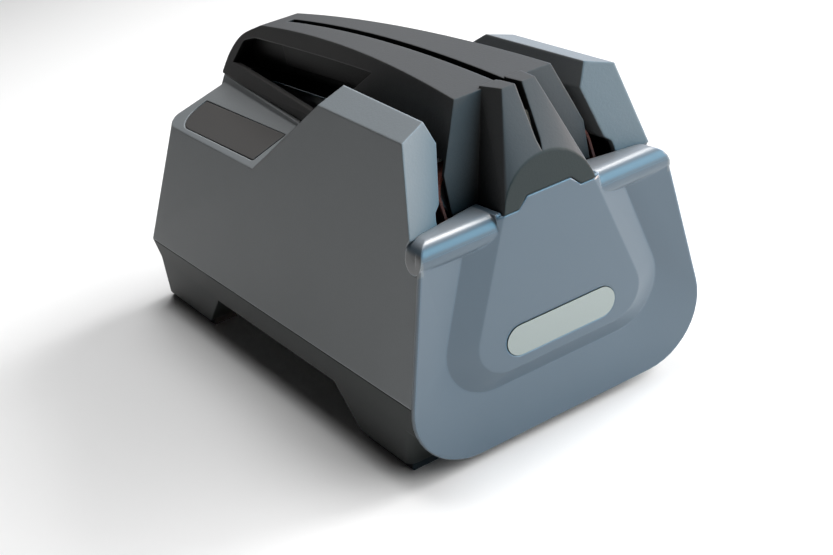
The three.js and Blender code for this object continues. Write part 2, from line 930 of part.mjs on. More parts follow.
// A rounded shield, wide near its foot: the cover's outline, the band and the pad
function shield(topHalf, top, widestHalf, widest, bottom, radius, topRadius, steps) {
  const lean = Math.atan2(widestHalf - topHalf, top - widest);
  const centre = new THREE.Vector2();
  centre.y = bottom + radius;
  const atCentre = widestHalf - (widestHalf - topHalf) * ((centre.y - widest) / (top - widest));
  centre.x = atCentre - radius / Math.cos(lean);
  const points = [];
  for (let i = 0; i <= steps; i += 1) {
    const angle = -Math.PI / 2 + ((Math.PI / 2 + lean) * i) / steps;
    points.push([centre.x + radius * Math.cos(angle), centre.y + radius * Math.sin(angle)]);
  }
  const crown = new THREE.Vector2();
  crown.y = top - topRadius;
  const atCrown = topHalf + Math.tan(lean) * topRadius;
  crown.x = atCrown - topRadius / Math.cos(lean);
  for (let i = 0; i <= steps / 2; i += 1) {
    const angle = lean + ((Math.PI / 2 - lean) * i) / (steps / 2);
    points.push([crown.x + topRadius * Math.cos(angle), crown.y + topRadius * Math.sin(angle)]);
  }
  return mirrored(points);
}

// Skins a stack of rings with the same number of points, closed by flat ends
function loft(rings) {
  const places = [];
  const ends = [];
  const count = rings[0].length;
  for (let r = 0; r + 1 < rings.length; r += 1) {
    for (let i = 0; i < count; i += 1) {
      const j = (i + 1) % count;
      const [a, b, c, d] = [rings[r][i], rings[r][j], rings[r + 1][j], rings[r + 1][i]];
      places.push(...a, ...b, ...c, ...a, ...c, ...d);
    }
  }
  for (const [ring, turned] of [[rings[0], true], [rings[rings.length - 1], false]]) {
    const flat = ring.map((point) => new THREE.Vector2(point[0], point[2]));
    for (const [a, b, c] of THREE.ShapeUtils.triangulateShape(flat, [])) {
      const order = turned ? [a, c, b] : [a, b, c];
      order.forEach((corner) => ends.push(...ring[corner]));
    }
  }
  const geometry = new THREE.BufferGeometry();
  const all = Float32Array.from([...places, ...ends]);
  geometry.setAttribute("position", new THREE.BufferAttribute(all, 3));
  return geometry;
}

const coverSteps = 12;
const coverTopHalfWidth = halfWidthAt(coverTop) + coverOverhang;
const coverWidest = coverBottom + coverBottomRadius;
const coverWidestHalfWidth = seamHalfWidth + coverOverhang + seam;
const coverBodyInset = coverOverhang + wall + seam;

function coverRing(inset) {
  return shield(
    coverTopHalfWidth - inset,
    coverTop - inset,
    coverWidestHalfWidth - inset,
    coverWidest,
    coverBottom + inset,
    coverBottomRadius - inset,
    coverTopRadius,
    coverSteps,
  );
}

function padRing(inset) {
  return shield(
    padTopHalfWidth - inset,
    padTop,
    padWidestHalfWidth - inset,
    padWidestHeight,
    padBottom + inset,
    padCornerRadius - inset,
    padTopRadius,
    coverSteps,
  );
}

function bandRing() {
  return shield(
    bandTopHalfWidth,
    padTop,
    bandWidestHalfWidth,
    padWidestHeight,
    bandBottom,
    bandCornerRadius,
    padTopRadius,
    coverSteps,
  );
}

// A ring laid in the cover's leaning plane, at a depth behind the rim
function laid(points, depth) {
  return points.map(([x, z]) => [x, rimPlane(z) + depth, z]);
}

function leaningPrism(points, from, to) {
  return solidOf(warp(alongY(outline(points), from, to), (point) => {
    point.y += rimPlane(point.z);
  }));
}

// The cover's outline, set in, as a prism along its depth
function coverPrism(inset, from, to) {
  return leaningPrism(coverRing(inset), from, to);
}

// Room for the part of the cover that reaches in between the walls
function coverRoom() {
  return coverPrism(coverBodyInset - seam, -overrun, coverThickness + seam);
}

const rollHeight = coverTop - rollRadius;
const rollPlace = rimPlane(rollHeight) + rollRadius - rollProud;

// The cover's rolled top edge
function coverRoll(grow) {
  const radius = rollRadius + grow;
  const roll = new THREE.CylinderGeometry(radius, radius, 2 * seamHalfWidth, 28);
  return solidOf(roll.rotateZ(Math.PI / 2).translate(0, rollPlace, rollHeight));
}

// Front cover: a dished plate with a raised pad, a rolled top edge and a ledge under the humps
function buildCover() {
  const edge = wall / 4;
  const plate = solidOf(loft([
    laid(coverRing(0), coverThickness),
    laid(coverRing(0), edge),
    laid(coverRing(edge), 0),
    laid(bandRing(), dishDepth),
    laid(padRing(0), -padRise),
  ]));
  const within = coverPrism(0, -4 * overrun, 4 * overrun);
  const far = coverTopHalfWidth + overrun;
  const besideBody = coverPrism(-wall, rimThickness, coverThickness + overrun)
    .subtract(coverPrism(coverBodyInset, 0, coverThickness + 2 * overrun));
  const aboveRelief = boxBetween(
    [-coverWidestHalfWidth - overrun, humpFace - 4 * overrun, rollHeight],
    [coverWidestHalfWidth + overrun, 0, roofTop],
  );
  const facePlace = humpFace - humpFaceRake * (humpFrontHeight - coverTop) - seam;
  const ledgeBack = (x) => facePlace - humpFaceTurn * (x - humpFaceHalfWidth);
  const guidePlace = guideFront - seam;
  const turnPoint = humpFaceHalfWidth - (guidePlace - facePlace) / humpFaceTurn;
  const ledge = alongZ(
    outline([
      [-far, rollPlace],
      [far, rollPlace],
      [far, ledgeBack(far)],
      [turnPoint, guidePlace],
      [-turnPoint, guidePlace],
      [-far, ledgeBack(far)],
    ]),
    coverTop - 2 * wall,
    coverTop,
  );
  const underNose = boxBetween(
    [-padTopHalfWidth - 2 * seam, archFront - overrun, padTop - seam / 2],
    [padTopHalfWidth + 2 * seam, guideFront + overrun, coverTop + overrun],
  );
  const edged = coverRoll(0).add(solidOf(ledge)).intersect(within);
  const tab = leaningPrism(tabPoints(0), -padRise, tabThickness - padRise);
  const relieved = plate.subtract(besideBody.subtract(solidOf(aboveRelief)));
  const body = relieved.add(edged).subtract(solidOf(underNose)).add(tab);
  const pocketRoof = coverTop - 2 * rollRadius;
  const aboveRoof = boxBetween([-far, humpFace - 4 * overrun, pocketRoof], [far, -overrun, coverTop]);
  const padPocket = leaningPrism(padRing(wall), wall - padRise, coverThickness + overrun);
  const beltReach = beltOuterHalfWidth + wall;
  const beltPocket = leaningPrism(
    mirrored([
      [beltReach, padWidestHeight + wall],
      [beltReach, padWidestHeight + 2 * padCornerRadius],
    ]),
    dishDepth + seam,
    coverThickness + overrun,
  );
  return cutAway(body, [padPocket.subtract(solidOf(aboveRoof)), beltPocket, badgeSolid(seam)]);
}

function badgeSolid(grow) {
  const radius = badgeWidth / 2 + grow;
  const reach = badgeLength / 2 - badgeWidth / 2;
  const shape = new THREE.Shape();
  shape.absarc(reach, badgeHeight, radius, -Math.PI / 2, Math.PI / 2);
  shape.absarc(-reach, badgeHeight, radius, Math.PI / 2, Math.PI * 1.5);
  shape.closePath();
  const front = -padRise - badgeProud;
  const back = front + badgeThickness;
  return solidOf(warp(alongY(shape, front - grow, back + grow, 10), (point) => {
    point.y += rimPlane(point.z);
  }));
}

function baseHalfWidthAt(z) {
  return seamHalfWidth - baseDraft * (seamHeight - z);
}

// The base's rear wall draws in to a waist, and splays out again down to the feet
function baseRearAt(z) {
  if (z < waistHeightRear) {
    return waistRear + footSplay * (waistHeightRear - z);
  }
  return waistRear + ((seamRear - waistRear) * (z - waistHeightRear)) / (seamHeight - waistHeightRear);
}

function baseSlab(inset, from, to) {
  const setBack = inset > 0 ? coverThickness + inset : rimThickness;
  const rings = [from, to].map((z) => planRing(
    baseHalfWidthAt(z) - inset,
    rimPlane(z) + seam + setBack,
    baseRearAt(z) - inset,
    Math.max(seamCornerRadius - inset, seam),
    z,
  ));
  return solidOf(new ConvexGeometry(rings.flat()));
}

// The base's walls as one block, drawn in a little going down
function baseBlock(inset, from, to) {
  if (from >= waistHeightRear) {
    return baseSlab(inset, from, to);
  }
  return baseSlab(inset, from, waistHeightRear).add(baseSlab(inset, waistHeightRear, to));
}

const postFoot = padThickness + seam;
const footInner = seamHalfWidth - baseDraft * seamHeight - footWidth;

// Everything in front of the front posts, whose front faces lean out going up
function beforeFrontPosts(inset, floor) {
  const half = baseHalfWidthAt(postFoot) - inset;
  const far = half + 2 * overrun;
  const radius = Math.max(footCornerRadius - inset, seam);
  const rounding = footFront + inset + radius;
  const plan = new THREE.Shape();
  plan.moveTo(-far, humpFace - 2 * overrun);
  plan.lineTo(far, humpFace - 2 * overrun);
  plan.lineTo(far, rounding);
  plan.lineTo(half, rounding);
  plan.absarc(half - radius, rounding, radius, 0, -Math.PI / 2, true);
  plan.absarc(radius - half, rounding, radius, -Math.PI / 2, -Math.PI, true);
  plan.lineTo(-far, rounding);
  plan.closePath();
  return solidOf(warp(alongZ(plan, -overrun, floor, 4), (point) => {
    point.x += Math.sign(point.x) * baseDraft * (point.z - postFoot);
    point.y -= footFrontRake * (point.z - postFoot);
  }));
}

// The base's outer form: a shallow tray on four corner posts
function baseForm(inset, top) {
  const low = postFoot + inset;
  const floor = bellyHeight + inset;
  const below = -overrun;
  const far = seamHalfWidth + overrun;
  const rise = bellyHeight - postFoot;
  const betweenFeet = outline([
    [frontFootBack - inset, below],
    [rearFootFront + inset, below],
    [rearFootFront + inset, low],
    [rearFootFront + inset - rearFootRake * rise, floor],
    [frontFootBack - inset + footBackRake * rise, floor],
    [frontFootBack - inset, low],
  ]);
  return cutAway(baseBlock(inset, low, top), [
    solidOf(alongX(betweenFeet, -far, far)),
    solidOf(boxBetween([-footInner - inset, humpFace - overrun, below],
      [footInner + inset, seamRear + overrun, floor])),
    beforeFrontPosts(inset, floor),
  ]);
}

// The tongue that lines up the base and the housing
function baseTongue() {
  const top = seamHeight + tongueHeight;
  const low = seamHeight - 2 * wall;
  const core = solidOf(housingBlock(wall + seam + tongueThickness, low - seam, top + seam));
  const foot = baseBlock(wall - seam, low, seamHeight - seam / 2);
  const lipFoot = seamHeight - wall / 2;
  const lip = solidOf(housingBlock(wall + seam, lipFoot, top))
    .intersect(solidOf(housingBlock(0, lipFoot, top)));
  return foot.add(lip).subtract(core);
}

function buildBase() {
  const top = seamHeight - seam / 2;
  const tray = baseForm(0, top).subtract(baseForm(wall, seamHeight + overrun));
  const socketHold = cylinderY(socketRadius + seam + wall / 2, seamRear - socketLength / 2, seamRear);
  const socketBore = cylinderY(socketRadius + seam, seamRear - 2 * socketLength, seamRear + overrun);
  const socketPlace = new THREE.Matrix4().makeTranslation(0, 0, socketHeight);
  const below = boxBetween([-footInner, -overrun, bellyHeight], [footInner, seamRear, top]);
  const hold = solidOf(socketHold.applyMatrix4(socketPlace)).intersect(solidOf(below));
  const recess = bellyHeight + screwRecess;
  const bosses = unite(screwColumns(screwBossRadius, bellyHeight, top));
  const vents = Array.from({ length: ventCount }, (unused, i) => {
    const place = ventPlace + i * ventPitch;
    return solidOf(boxBetween(
      [-ventLength / 2, place, bellyHeight - overrun],
      [ventLength / 2, place + ventWidth, bellyHeight + 2 * wall],
    ));
  });
  return cutAway(tray.add(baseTongue()).add(hold).add(bosses), [
    coverRoom(),
    solidOf(socketBore.applyMatrix4(socketPlace)),
    ...screwColumns(screwRadius + seam, bellyHeight - seam, top + tongueHeight, 16),
    ...screwColumns(screwHeadRadius + seam, bellyHeight - overrun, recess),
    ...vents,
  ]);
}

// A rubber pad under each post, with the post's own outline set in
function rubberFoot(side, rear) {
  const low = rear ? rearFootFront + padInset : footFront + padInset;
  const high = rear ? padRear : frontFootBack - padInset;
  const near = side * (footInner + padInset);
  const far = side * (seamHalfWidth + overrun);
  const rings = [0, padThickness].map((z) => planRing(
    baseHalfWidthAt(z) - padInset,
    rimPlane(z),
    padRear,
    seamCornerRadius - padInset,
    z,
  ));
  const block = solidOf(new ConvexGeometry(rings.flat()));
  const room = boxBetween(
    [Math.min(near, far), low, -overrun],
    [Math.max(near, far), high, padThickness + overrun],
  );
  return block.intersect(solidOf(room));
}

function addRubberFeet() {
  const names = [["front", false], ["rear", true]];
  for (const [end, rear] of names) {
    addPart(`rubber_foot_${end}_left`, rubberFoot(-1, rear), rubberBlack);
    addPart(`rubber_foot_${end}_right`, rubberFoot(1, rear), rubberBlack);
  }
}

// A turned piece: its profile goes round the piece's own y axis
function turned(points, sides = 18) {
  const profile = points.map(([radius, y]) => new THREE.Vector2(radius, y));
  return solidOf(new THREE.LatheGeometry(profile, sides));
}

function addHousingScrews() {
  const headTop = bellyHeight + screwRecess - seam;
  const names = ["front_left", "rear_left", "front_right", "rear_right"];
  let index = 0;
  for (const side of [-1, 1]) {
    for (const place of screwPlaces) {
      const shape = turned([
        [0, headTop - screwHeadHeight],
        [screwHeadRadius, headTop - screwHeadHeight],
        [screwHeadRadius, headTop],
        [screwRadius, headTop],
        [screwRadius, seamHeight + screwReach],
        [0, seamHeight + screwReach],
      ], 12);
      const screw = addPart(`housing_screw_${names[index]}`, shape, zinc);
      screw.rotation.x = Math.PI / 2;
      screw.position.set(side * screwHalfSpacing, place, 0);
      index += 1;
    }
  }
}

function addStartButton() {
  sharpener.add(buttonPlace);
  const lipTop = -buttonDepth;
  const lipFoot = lipTop - buttonLipThickness;
  const half = stemWidth / 2;
  const cap = unite([
    solidOf(alongZ(buttonOutline(0), lipFoot, buttonProud, 8)),
    solidOf(alongZ(buttonOutline(buttonGap + buttonLip), lipFoot, lipTop, 8)),
    solidOf(boxBetween([-half, -half, stemTip], [half, half, lipFoot + seam])),
  ]);
  addPart("start_button", cap, buttonBlack, buttonPlace);
  const springFoot = switchTop + seam + buttonSpringWire;
  const springHead = lipFoot - seam - buttonSpringWire;
  const pitch = (springHead - springFoot) / buttonSpringTurns;
  const coil = springGeometry(buttonSpringRadius, buttonSpringWire, pitch, buttonSpringTurns);
  addPart("button_spring", solidOf(coil.translate(0, 0, springFoot)), steel, buttonPlace);
  const keyHalf = switchKeyWidth / 2;
  const size = switchSize;
  const body = solidOf(boxBetween(
    [-size.x / 2, -size.y / 2, switchTop - size.z],
    [size.x / 2, size.y / 2, switchTop],
  ));
  const key = boxBetween(
    [-keyHalf, -keyHalf, switchTop - seam],
    [keyHalf, keyHalf, switchTop + switchKeyHeight],
  );
  addPart("start_switch", body.add(solidOf(key)), magnetGrey, buttonPlace);
  const board = boxBetween(
    [boardShift - boardSize.x / 2, -boardSize.y / 2, boardTop - boardSize.z],
    [boardShift + boardSize.x / 2, boardSize.y / 2, boardTop],
  );
  addPart("circuit_board", solidOf(board), boardGreen, buttonPlace);
}

// Reach from a pulley's centre to the belt's outer face
const idlerReach = idlerRadius + seam + beltThickness;
const driveReach = driveRadius + seam + beltThickness;
const idlerPlace = new THREE.Vector2(beltOuterHalfWidth - idlerReach, 0);
const tensionPlace = new THREE.Vector2(-idlerPlace.x, beltBottom + idlerReach);
const drivePlace = new THREE.Vector2(beltOuterHalfWidth - driveReach, beltBottom + driveReach);

const armPivot = new THREE.Vector2(tensionPlace.x + armLength, tensionPlace.y);

function beltLoop(inset) {
  const small = idlerReach - inset;
  const shape = new THREE.Shape();
  shape.absarc(drivePlace.x, drivePlace.y, driveReach - inset, -Math.PI / 2, 0);
  shape.absarc(idlerPlace.x, idlerPlace.y, small, 0, Math.PI / 2);
  shape.absarc(-idlerPlace.x, idlerPlace.y, small, Math.PI / 2, Math.PI);
  shape.absarc(tensionPlace.x, tensionPlace.y, small, Math.PI, Math.PI * 1.5);
  shape.closePath();
  return shape;
}

function buildBelt() {
  const half = beltWidth / 2;
  const outside = solidOf(alongY(beltLoop(0), -half, half, 8));
  return outside.subtract(solidOf(alongY(beltLoop(beltThickness), -half - seam, half + seam, 8)));
}

// A pulley with a rim, a web and a hub
function pulley(radius, bore) {
  const half = pulleyWidth / 2;
  const hub = hubLength / 2;
  const web = pulleyWeb / 2;
  const boss = Math.max(hubRadius, bore + pulleyRim);
  return turned([
    [bore, -hub],
    [boss, -hub],
    [boss, -web],
    [radius - pulleyRim, -web],
    [radius - pulleyRim, -half],
    [radius, -half],
    [radius, half],
    [radius - pulleyRim, half],
    [radius - pulleyRim, web],
    [boss, web],
    [boss, hub],
    [bore, hub],
    [bore, -hub],
  ]);
}

// A pin with a head in front, a collar behind the pulley and its tail in what carries it
function axle(front, collarFront, collarBack, tail) {
  return turned([
    [0, front - axleHeadThickness],
    [axleHeadRadius, front - axleHeadThickness],
    [axleHeadRadius, front],
    [axleRadius, front],
    [axleRadius, collarFront],
    [axleHeadRadius, collarFront],
    [axleHeadRadius, collarBack],
    [axleRadius, collarBack],
    [axleRadius, tail],
    [0, tail],
  ], 12);
}

function addAt(name, shape, material, place) {
  const mesh = addPart(name, shape, material, drive);
  mesh.position.set(place.x, 0, place.y);
  return mesh;
}

const armFront = armBack - armThickness;
const frameBack = frameFront + frameThickness;

function addPulleys() {
  const left = new THREE.Vector2(-idlerPlace.x, idlerPlace.y);
  const head = -hubLength / 2 - seam;
  const collar = hubLength / 2 + seam;
  const bore = axleRadius + running;
  addAt("idler_pulley_left", pulley(idlerRadius, bore), nylon, left);
  addAt("idler_pulley_right", pulley(idlerRadius, bore), nylon, idlerPlace);
  addAt("tension_pulley", pulley(idlerRadius, bore), nylon, tensionPlace);
  addAt("drive_pulley", pulley(driveRadius, shaftRadius + running), nylon, drivePlace);
  addAt("idler_axle_left", axle(head, collar, frameFront - seam, frameBack), steel, left);
  addAt("idler_axle_right", axle(head, collar, frameFront - seam, frameBack), steel, idlerPlace);
  addAt("tension_axle", axle(head, collar, armFront - seam, armBack), steel, tensionPlace);
}

function hole(shape, place, radius) {
  shape.holes.push(new THREE.Path().absarc(place.x, place.y, radius, 0, Math.PI * 2, true));
}

// The sprung arm that keeps the belt tight
function addTensionArm() {
  const along = tensionPlace.clone().sub(armPivot);
  const angle = along.angle();
  const half = armWidth / 2;
  const shape = new THREE.Shape();
  shape.absarc(tensionPlace.x, tensionPlace.y, half, angle - Math.PI / 2, angle + Math.PI / 2);
  shape.absarc(armPivot.x, armPivot.y, half, angle + Math.PI / 2, angle + Math.PI * 1.5);
  shape.closePath();
  hole(shape, tensionPlace, axleRadius + running);
  hole(shape, armPivot, axleRadius + running);
  addPart("tension_arm", solidOf(alongY(shape, armFront, armBack, 8)), zinc, drive);
  const pin = turned([
    [0, armFront - seam - axleHeadThickness],
    [axleHeadRadius, armFront - seam - axleHeadThickness],
    [axleHeadRadius, armFront - seam],
    [axleRadius, armFront - seam],
    [axleRadius, frameBack],
    [0, frameBack],
  ], 12);
  addAt("arm_pivot_pin", pin, steel, armPivot);
  const height = torsionPitch * torsionTurns;
  const middle = (armBack + frameFront) / 2;
  const coil = springGeometry(torsionRadius, torsionWire, torsionPitch, torsionTurns);
  const spring = coil.rotateX(-Math.PI / 2).translate(0, middle - height / 2, 0);
  addAt("tension_spring", solidOf(spring), steel, armPivot);
}

// The plate that carries the axles, on two legs that stand in the base
function buildBeltFrame() {
  const shape = outline(mirrored([
    [frameHalfWidth, frameBottom],
    [frameHalfWidth, frameShoulder],
    [frameTopHalfWidth, frameShoulder + frameCorner],
    [frameTopHalfWidth, frameTop],
  ]));
  hole(shape, idlerPlace, axleRadius + running);
  hole(shape, new THREE.Vector2(-idlerPlace.x, idlerPlace.y), axleRadius + running);
  hole(shape, armPivot, axleRadius + running);
  hole(shape, drivePlace, shaftRadius + frameCorner);
  const plate = alongY(shape, frameFront, frameBack, 8).applyMatrix4(drive.matrixWorld);
  const legs = [-1, 1].map((side) => {
    const near = side * (frameHalfWidth - legWidth);
    const far = side * frameHalfWidth;
    return solidOf(boxBetween(
      [Math.min(near, far), legFront, bellyHeight + wall + seam],
      [Math.max(near, far), legRear, legTop],
    ));
  });
  return solidOf(plate).add(unite(legs));
}

const canFront = frameBack + seam;
const canRear = canFront + motorLength - motorCapThickness;
const capFront = canRear + seam;
const capRear = capFront + motorCapThickness;
const magnetOuter = motorRadius - motorWall - seam;
const shaftBore = shaftRadius + running;

function magnet(side) {
  const middle = side > 0 ? 0 : Math.PI;
  const shape = new THREE.Shape();
  shape.absarc(0, 0, magnetOuter, middle - magnetSpan / 2, middle + magnetSpan / 2);
  const inner = magnetOuter - magnetThickness;
  shape.absarc(0, 0, inner, middle + magnetSpan / 2, middle - magnetSpan / 2, true);
  shape.closePath();
  const margin = 2 * motorCapThickness;
  return solidOf(alongY(shape, canFront + margin, canRear - margin, 10));
}

function armature() {
  const margin = 2 * motorCapThickness + seam;
  const low = canFront + margin;
  const high = canRear - margin;
  const core = cylinderY(armatureRadius, low, high, 28);
  const slots = Array.from({ length: armatureSlots }, (unused, i) => {
    const half = armatureSlotWidth / 2;
    const slot = boxBetween(
      [armatureRadius - armatureSlotDepth, low - seam, -half],
      [armatureRadius + seam, high + seam, half],
    );
    return solidOf(slot.rotateY((i * Math.PI * 2) / armatureSlots));
  });
  const bore = solidOf(cylinderY(shaftBore, low - seam, high + seam));
  return cutAway(solidOf(core), [...slots, bore]);
}

function coolingFan(front) {
  const disc = solidOf(cylinderY(fanRadius, front, front + fanDisc));
  const hub = solidOf(cylinderY(fanHubRadius, front, front + fanThickness));
  const blades = Array.from({ length: fanBlades }, (unused, i) => {
    const half = fanBladeThickness / 2;
    const blade = boxBetween(
      [fanHubRadius - running, front, -half],
      [fanRadius - running, front + fanThickness, half],
    );
    return solidOf(blade.rotateY((i * Math.PI * 2) / fanBlades));
  });
  const bore = solidOf(cylinderY(shaftBore, front - seam, front + fanThickness + seam));
  return unite([disc, hub, ...blades]).subtract(bore);
}

function addMotor() {
  const inner = motorRadius - motorWall;
  const shell = turned([
    [shaftBore, canFront],
    [motorRadius, canFront],
    [motorRadius, canRear],
    [inner, canRear],
    [inner, canFront + motorWall],
    [shaftBore, canFront + motorWall],
    [shaftBore, canFront],
  ], 28);
  const cap = turned([
    [shaftBore, capFront],
    [motorRadius, capFront],
    [motorRadius, capRear],
    [shaftBore, capRear],
    [shaftBore, capFront],
  ], 28);
  const fanFront = capRear + motorWall;
  const shaftFront = -pulleyWidth / 2;
  const shaft = solidOf(cylinderY(shaftRadius, shaftFront, fanFront + fanThickness + motorWall, 20));
  addAt("motor_can", shell, zinc, drivePlace);
  addAt("motor_end_cap", cap, nylon, drivePlace);
  addAt("motor_magnet_left", magnet(-1), magnetGrey, drivePlace);
  addAt("motor_magnet_right", magnet(1), magnetGrey, drivePlace);
  addAt("motor_armature", armature(), copper, drivePlace);
  addAt("motor_shaft", shaft, steel, drivePlace);
  addAt("cooling_fan", coolingFan(fanFront), buttonBlack, drivePlace);
}

// A cradle on the base floor and a strap over the can hold the motor
function addMotorHolders() {
  const can = cylinderY(motorRadius + seam, canFront - overrun, capRear + overrun, 36)
    .translate(drivePlace.x, 0, drivePlace.y)
    .applyMatrix4(drive.matrixWorld);
  const cradle = boxBetween(
    [drivePlace.x - cradleHalfWidth, cradleFront, bellyHeight + wall + seam],
    [drivePlace.x + cradleHalfWidth, cradleRear, cradleTop],
  );
  addPart("motor_cradle", solidOf(cradle).subtract(solidOf(can)), baseGrey);
  const shape = new THREE.Shape();
  const inner = motorRadius + seam;
  shape.absarc(0, 0, inner + strapThickness, 0, Math.PI);
  shape.absarc(0, 0, inner, Math.PI, 0, true);
  shape.closePath();
  const strap = alongY(shape, strapPlace, strapPlace + strapWidth, 14);
  addAt("motor_strap", solidOf(strap), zinc, drivePlace);
}

function addPowerSocket() {
  const rear = seamRear - seam;
  const floor = rear - socketLength + wall;
  const shape = turned([
    [0, rear - socketLength],
    [socketRadius, rear - socketLength],
    [socketRadius, rear],
    [socketBoreRadius, rear],
    [socketBoreRadius, floor],
    [socketPinRadius, floor],
    [socketPinRadius, rear - seam],
    [0, rear - seam],
  ]);
  const socket = addPart("power_socket", shape, buttonBlack);
  socket.position.z = socketHeight;
}

addPart("upper_housing", buildHousing(), housingGrey);
addPart("lower_base", buildBase(), baseGrey);
addPart("front_cover", buildCover(), coverGrey);
addPart("badge_plate", badgeSolid(0), badgeMint);
addPart("knife_guide", buildGuide(), guideBlack);
addPart("honing_rod_front", solidOf(rodGeometry(0, 0)), ceramic);
addPart("honing_rod_rear", solidOf(rodGeometry(1, 0)), ceramic);
addRubberFeet();
addHousingScrews();
addStartButton();
addPart("abrasive_belt", buildBelt(), abrasiveBrown, drive);
addPulleys();
addTensionArm();
addPart("belt_frame", buildBeltFrame(), zinc);
addMotor();
addMotorHolders();
addPowerSocket();

// The origin goes under the middle of the whole sharpener
const bounds = new THREE.Box3().setFromObject(sharpener);
sharpener.position.y = -(bounds.min.y + bounds.max.y) / 2;

export default sharpener;
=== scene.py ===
"""Looks of an electric knife sharpener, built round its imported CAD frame.

Blender's lengths are in metres. Sizes of pieces and finishes are written in millimetres.
"""

import logging
import math
from dataclasses import dataclass
from enum import Enum
from typing import ClassVar

import bmesh
import bpy
from mathutils import Matrix, Vector

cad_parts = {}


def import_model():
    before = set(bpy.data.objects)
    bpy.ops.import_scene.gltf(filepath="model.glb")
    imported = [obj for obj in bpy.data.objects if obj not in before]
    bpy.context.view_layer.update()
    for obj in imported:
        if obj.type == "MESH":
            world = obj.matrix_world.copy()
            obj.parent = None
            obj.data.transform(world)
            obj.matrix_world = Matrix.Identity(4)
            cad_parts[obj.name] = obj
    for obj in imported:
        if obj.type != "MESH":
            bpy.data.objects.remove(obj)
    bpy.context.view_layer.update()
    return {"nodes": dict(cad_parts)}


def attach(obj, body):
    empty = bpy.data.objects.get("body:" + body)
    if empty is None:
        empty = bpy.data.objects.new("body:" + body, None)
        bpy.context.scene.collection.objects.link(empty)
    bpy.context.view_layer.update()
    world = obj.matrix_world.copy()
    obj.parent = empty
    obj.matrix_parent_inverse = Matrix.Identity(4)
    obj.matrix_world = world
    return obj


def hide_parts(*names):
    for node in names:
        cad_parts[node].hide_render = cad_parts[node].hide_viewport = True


log = logging.getLogger("sharpener")

MM = 0.001

# Joins the doubled corners of a faceted CAD mesh, and is too short to join anything else.
WELD = 0.002 * MM
# A CAD edge that turns by less than this belongs to a curve and is shaded smooth.
CREASE = math.radians(15.0)
# Index of refraction of moulded plastic and of the resin that holds the grit.
PLASTIC_IOR = 1.5
# Sockets of a colour Mix node, which has several of the same name.
MIX_SHARE, MIX_LOW, MIX_HIGH, MIX_COLOUR = 0, 6, 7, 2

CORNERS = ("front_left", "front_right", "rear_left", "rear_right")
SIDES = ("left", "right")
# Signs of X on the left and on the right.
LEFT_AND_RIGHT = (-1.0, 1.0)

Colour = tuple[float, float, float, float]
Outline = list[tuple[float, float]]


def linear(hex_colour: str, alpha: float = 1.0) -> Colour:
    """Turns an sRGB hex colour into Blender's linear one.

    Args:
        hex_colour: Six hex digits, with or without a leading hash.
        alpha: Opacity to add.

    Returns:
        Red, green, blue and alpha.
    """
    digits = hex_colour.lstrip("#")
    shares = [int(digits[i : i + 2], 16) / 255 for i in (0, 2, 4)]
    red, green, blue = [
        s / 12.92 if s <= 0.04045 else ((s + 0.055) / 1.055) ** 2.4 for s in shares
    ]
    return red, green, blue, alpha


def add(
    tree: bpy.types.NodeTree,
    kind: str,
    settings: dict[str, object] | None = None,
    inputs: dict[str | int, object] | None = None,
) -> bpy.types.Node:
    """Adds a node to a shader or geometry tree.

    Args:
        tree: The tree to add to.
        kind: Blender's type name of the node.
        settings: Values of the node's own attributes, by name.
        inputs: Values or output sockets for its inputs, by socket name or number.

    Returns:
        The new node.
    """
    node = tree.nodes.new(kind)
    for name, value in (settings or {}).items():
        setattr(node, name, value)
    for key, source in (inputs or {}).items():
        if isinstance(source, bpy.types.NodeSocket):
            tree.links.new(source, node.inputs[key])
        else:
            node.inputs[key].default_value = source
    return node


def fresh_material(name: str) -> tuple[bpy.types.Material, bpy.types.NodeTree]:
    """Makes an empty node material.

    Args:
        name: Name of the material.

    Returns:
        The material and its node tree.
    """
    material = bpy.data.materials.new(name)
    material.use_nodes = True
    material.node_tree.nodes.clear()
    return material, material.node_tree


def close(tree: bpy.types.NodeTree, shader: bpy.types.Node) -> None:
    """Joins a shader to the material's output."""
    add(tree, "ShaderNodeOutputMaterial", inputs={"Surface": shader.outputs["BSDF"]})


def fresh_shape_tree(name: str) -> tuple[bpy.types.NodeTree, bpy.types.NodeSocket]:
    """Makes a geometry tree that takes and gives one mesh.

    Args:
        name: Name of the tree.

    Returns:
        The tree, and the socket of the mesh it takes with its doubled corners joined.
    """
    tree = bpy.data.node_groups.new(name, "GeometryNodeTree")
    for way in ("INPUT", "OUTPUT"):
        tree.interface.new_socket("Geometry", in_out=way, socket_type="NodeSocketGeometry")
    start = add(tree, "NodeGroupInput")
    weld = add(
        tree,
        "GeometryNodeMergeByDistance",
        inputs={"Geometry": start.outputs[0], "Distance": WELD},
    )
    return tree, weld.outputs[0]


def smooth_by_angle(angle: float) -> bpy.types.NodeTree:
    """Builds a geometry tree that smooths a mesh except at its hard edges.

    Args:
        angle: Angle in radians above which an edge stays hard.

    Returns:
        The tree.
    """
    tree, mesh = fresh_shape_tree("smooth_by_angle")
    soft = add(tree, "GeometryNodeSetShadeSmooth", inputs={"Geometry": mesh})
    turn = add(tree, "GeometryNodeInputMeshEdgeAngle")
    hard = add(
        tree,
        "FunctionNodeCompare",
        {"data_type": "FLOAT", "operation": "GREATER_THAN"},
        {0: turn.outputs["Unsigned Angle"], 1: angle},
    )
    crease = add(
        tree,
        "GeometryNodeSetShadeSmooth",
        {"domain": "EDGE"},
        {
            "Geometry": soft.outputs[0],
            "Selection": hard.outputs["Result"],
            "Shade Smooth": False,
        },
    )
    add(tree, "NodeGroupOutput", inputs={0: crease.outputs[0]})
    return tree


class Axis(Enum):
    """The way along which a zone of a piece is told from the rest."""

    FORWARD = "Y"
    UP = "Z"


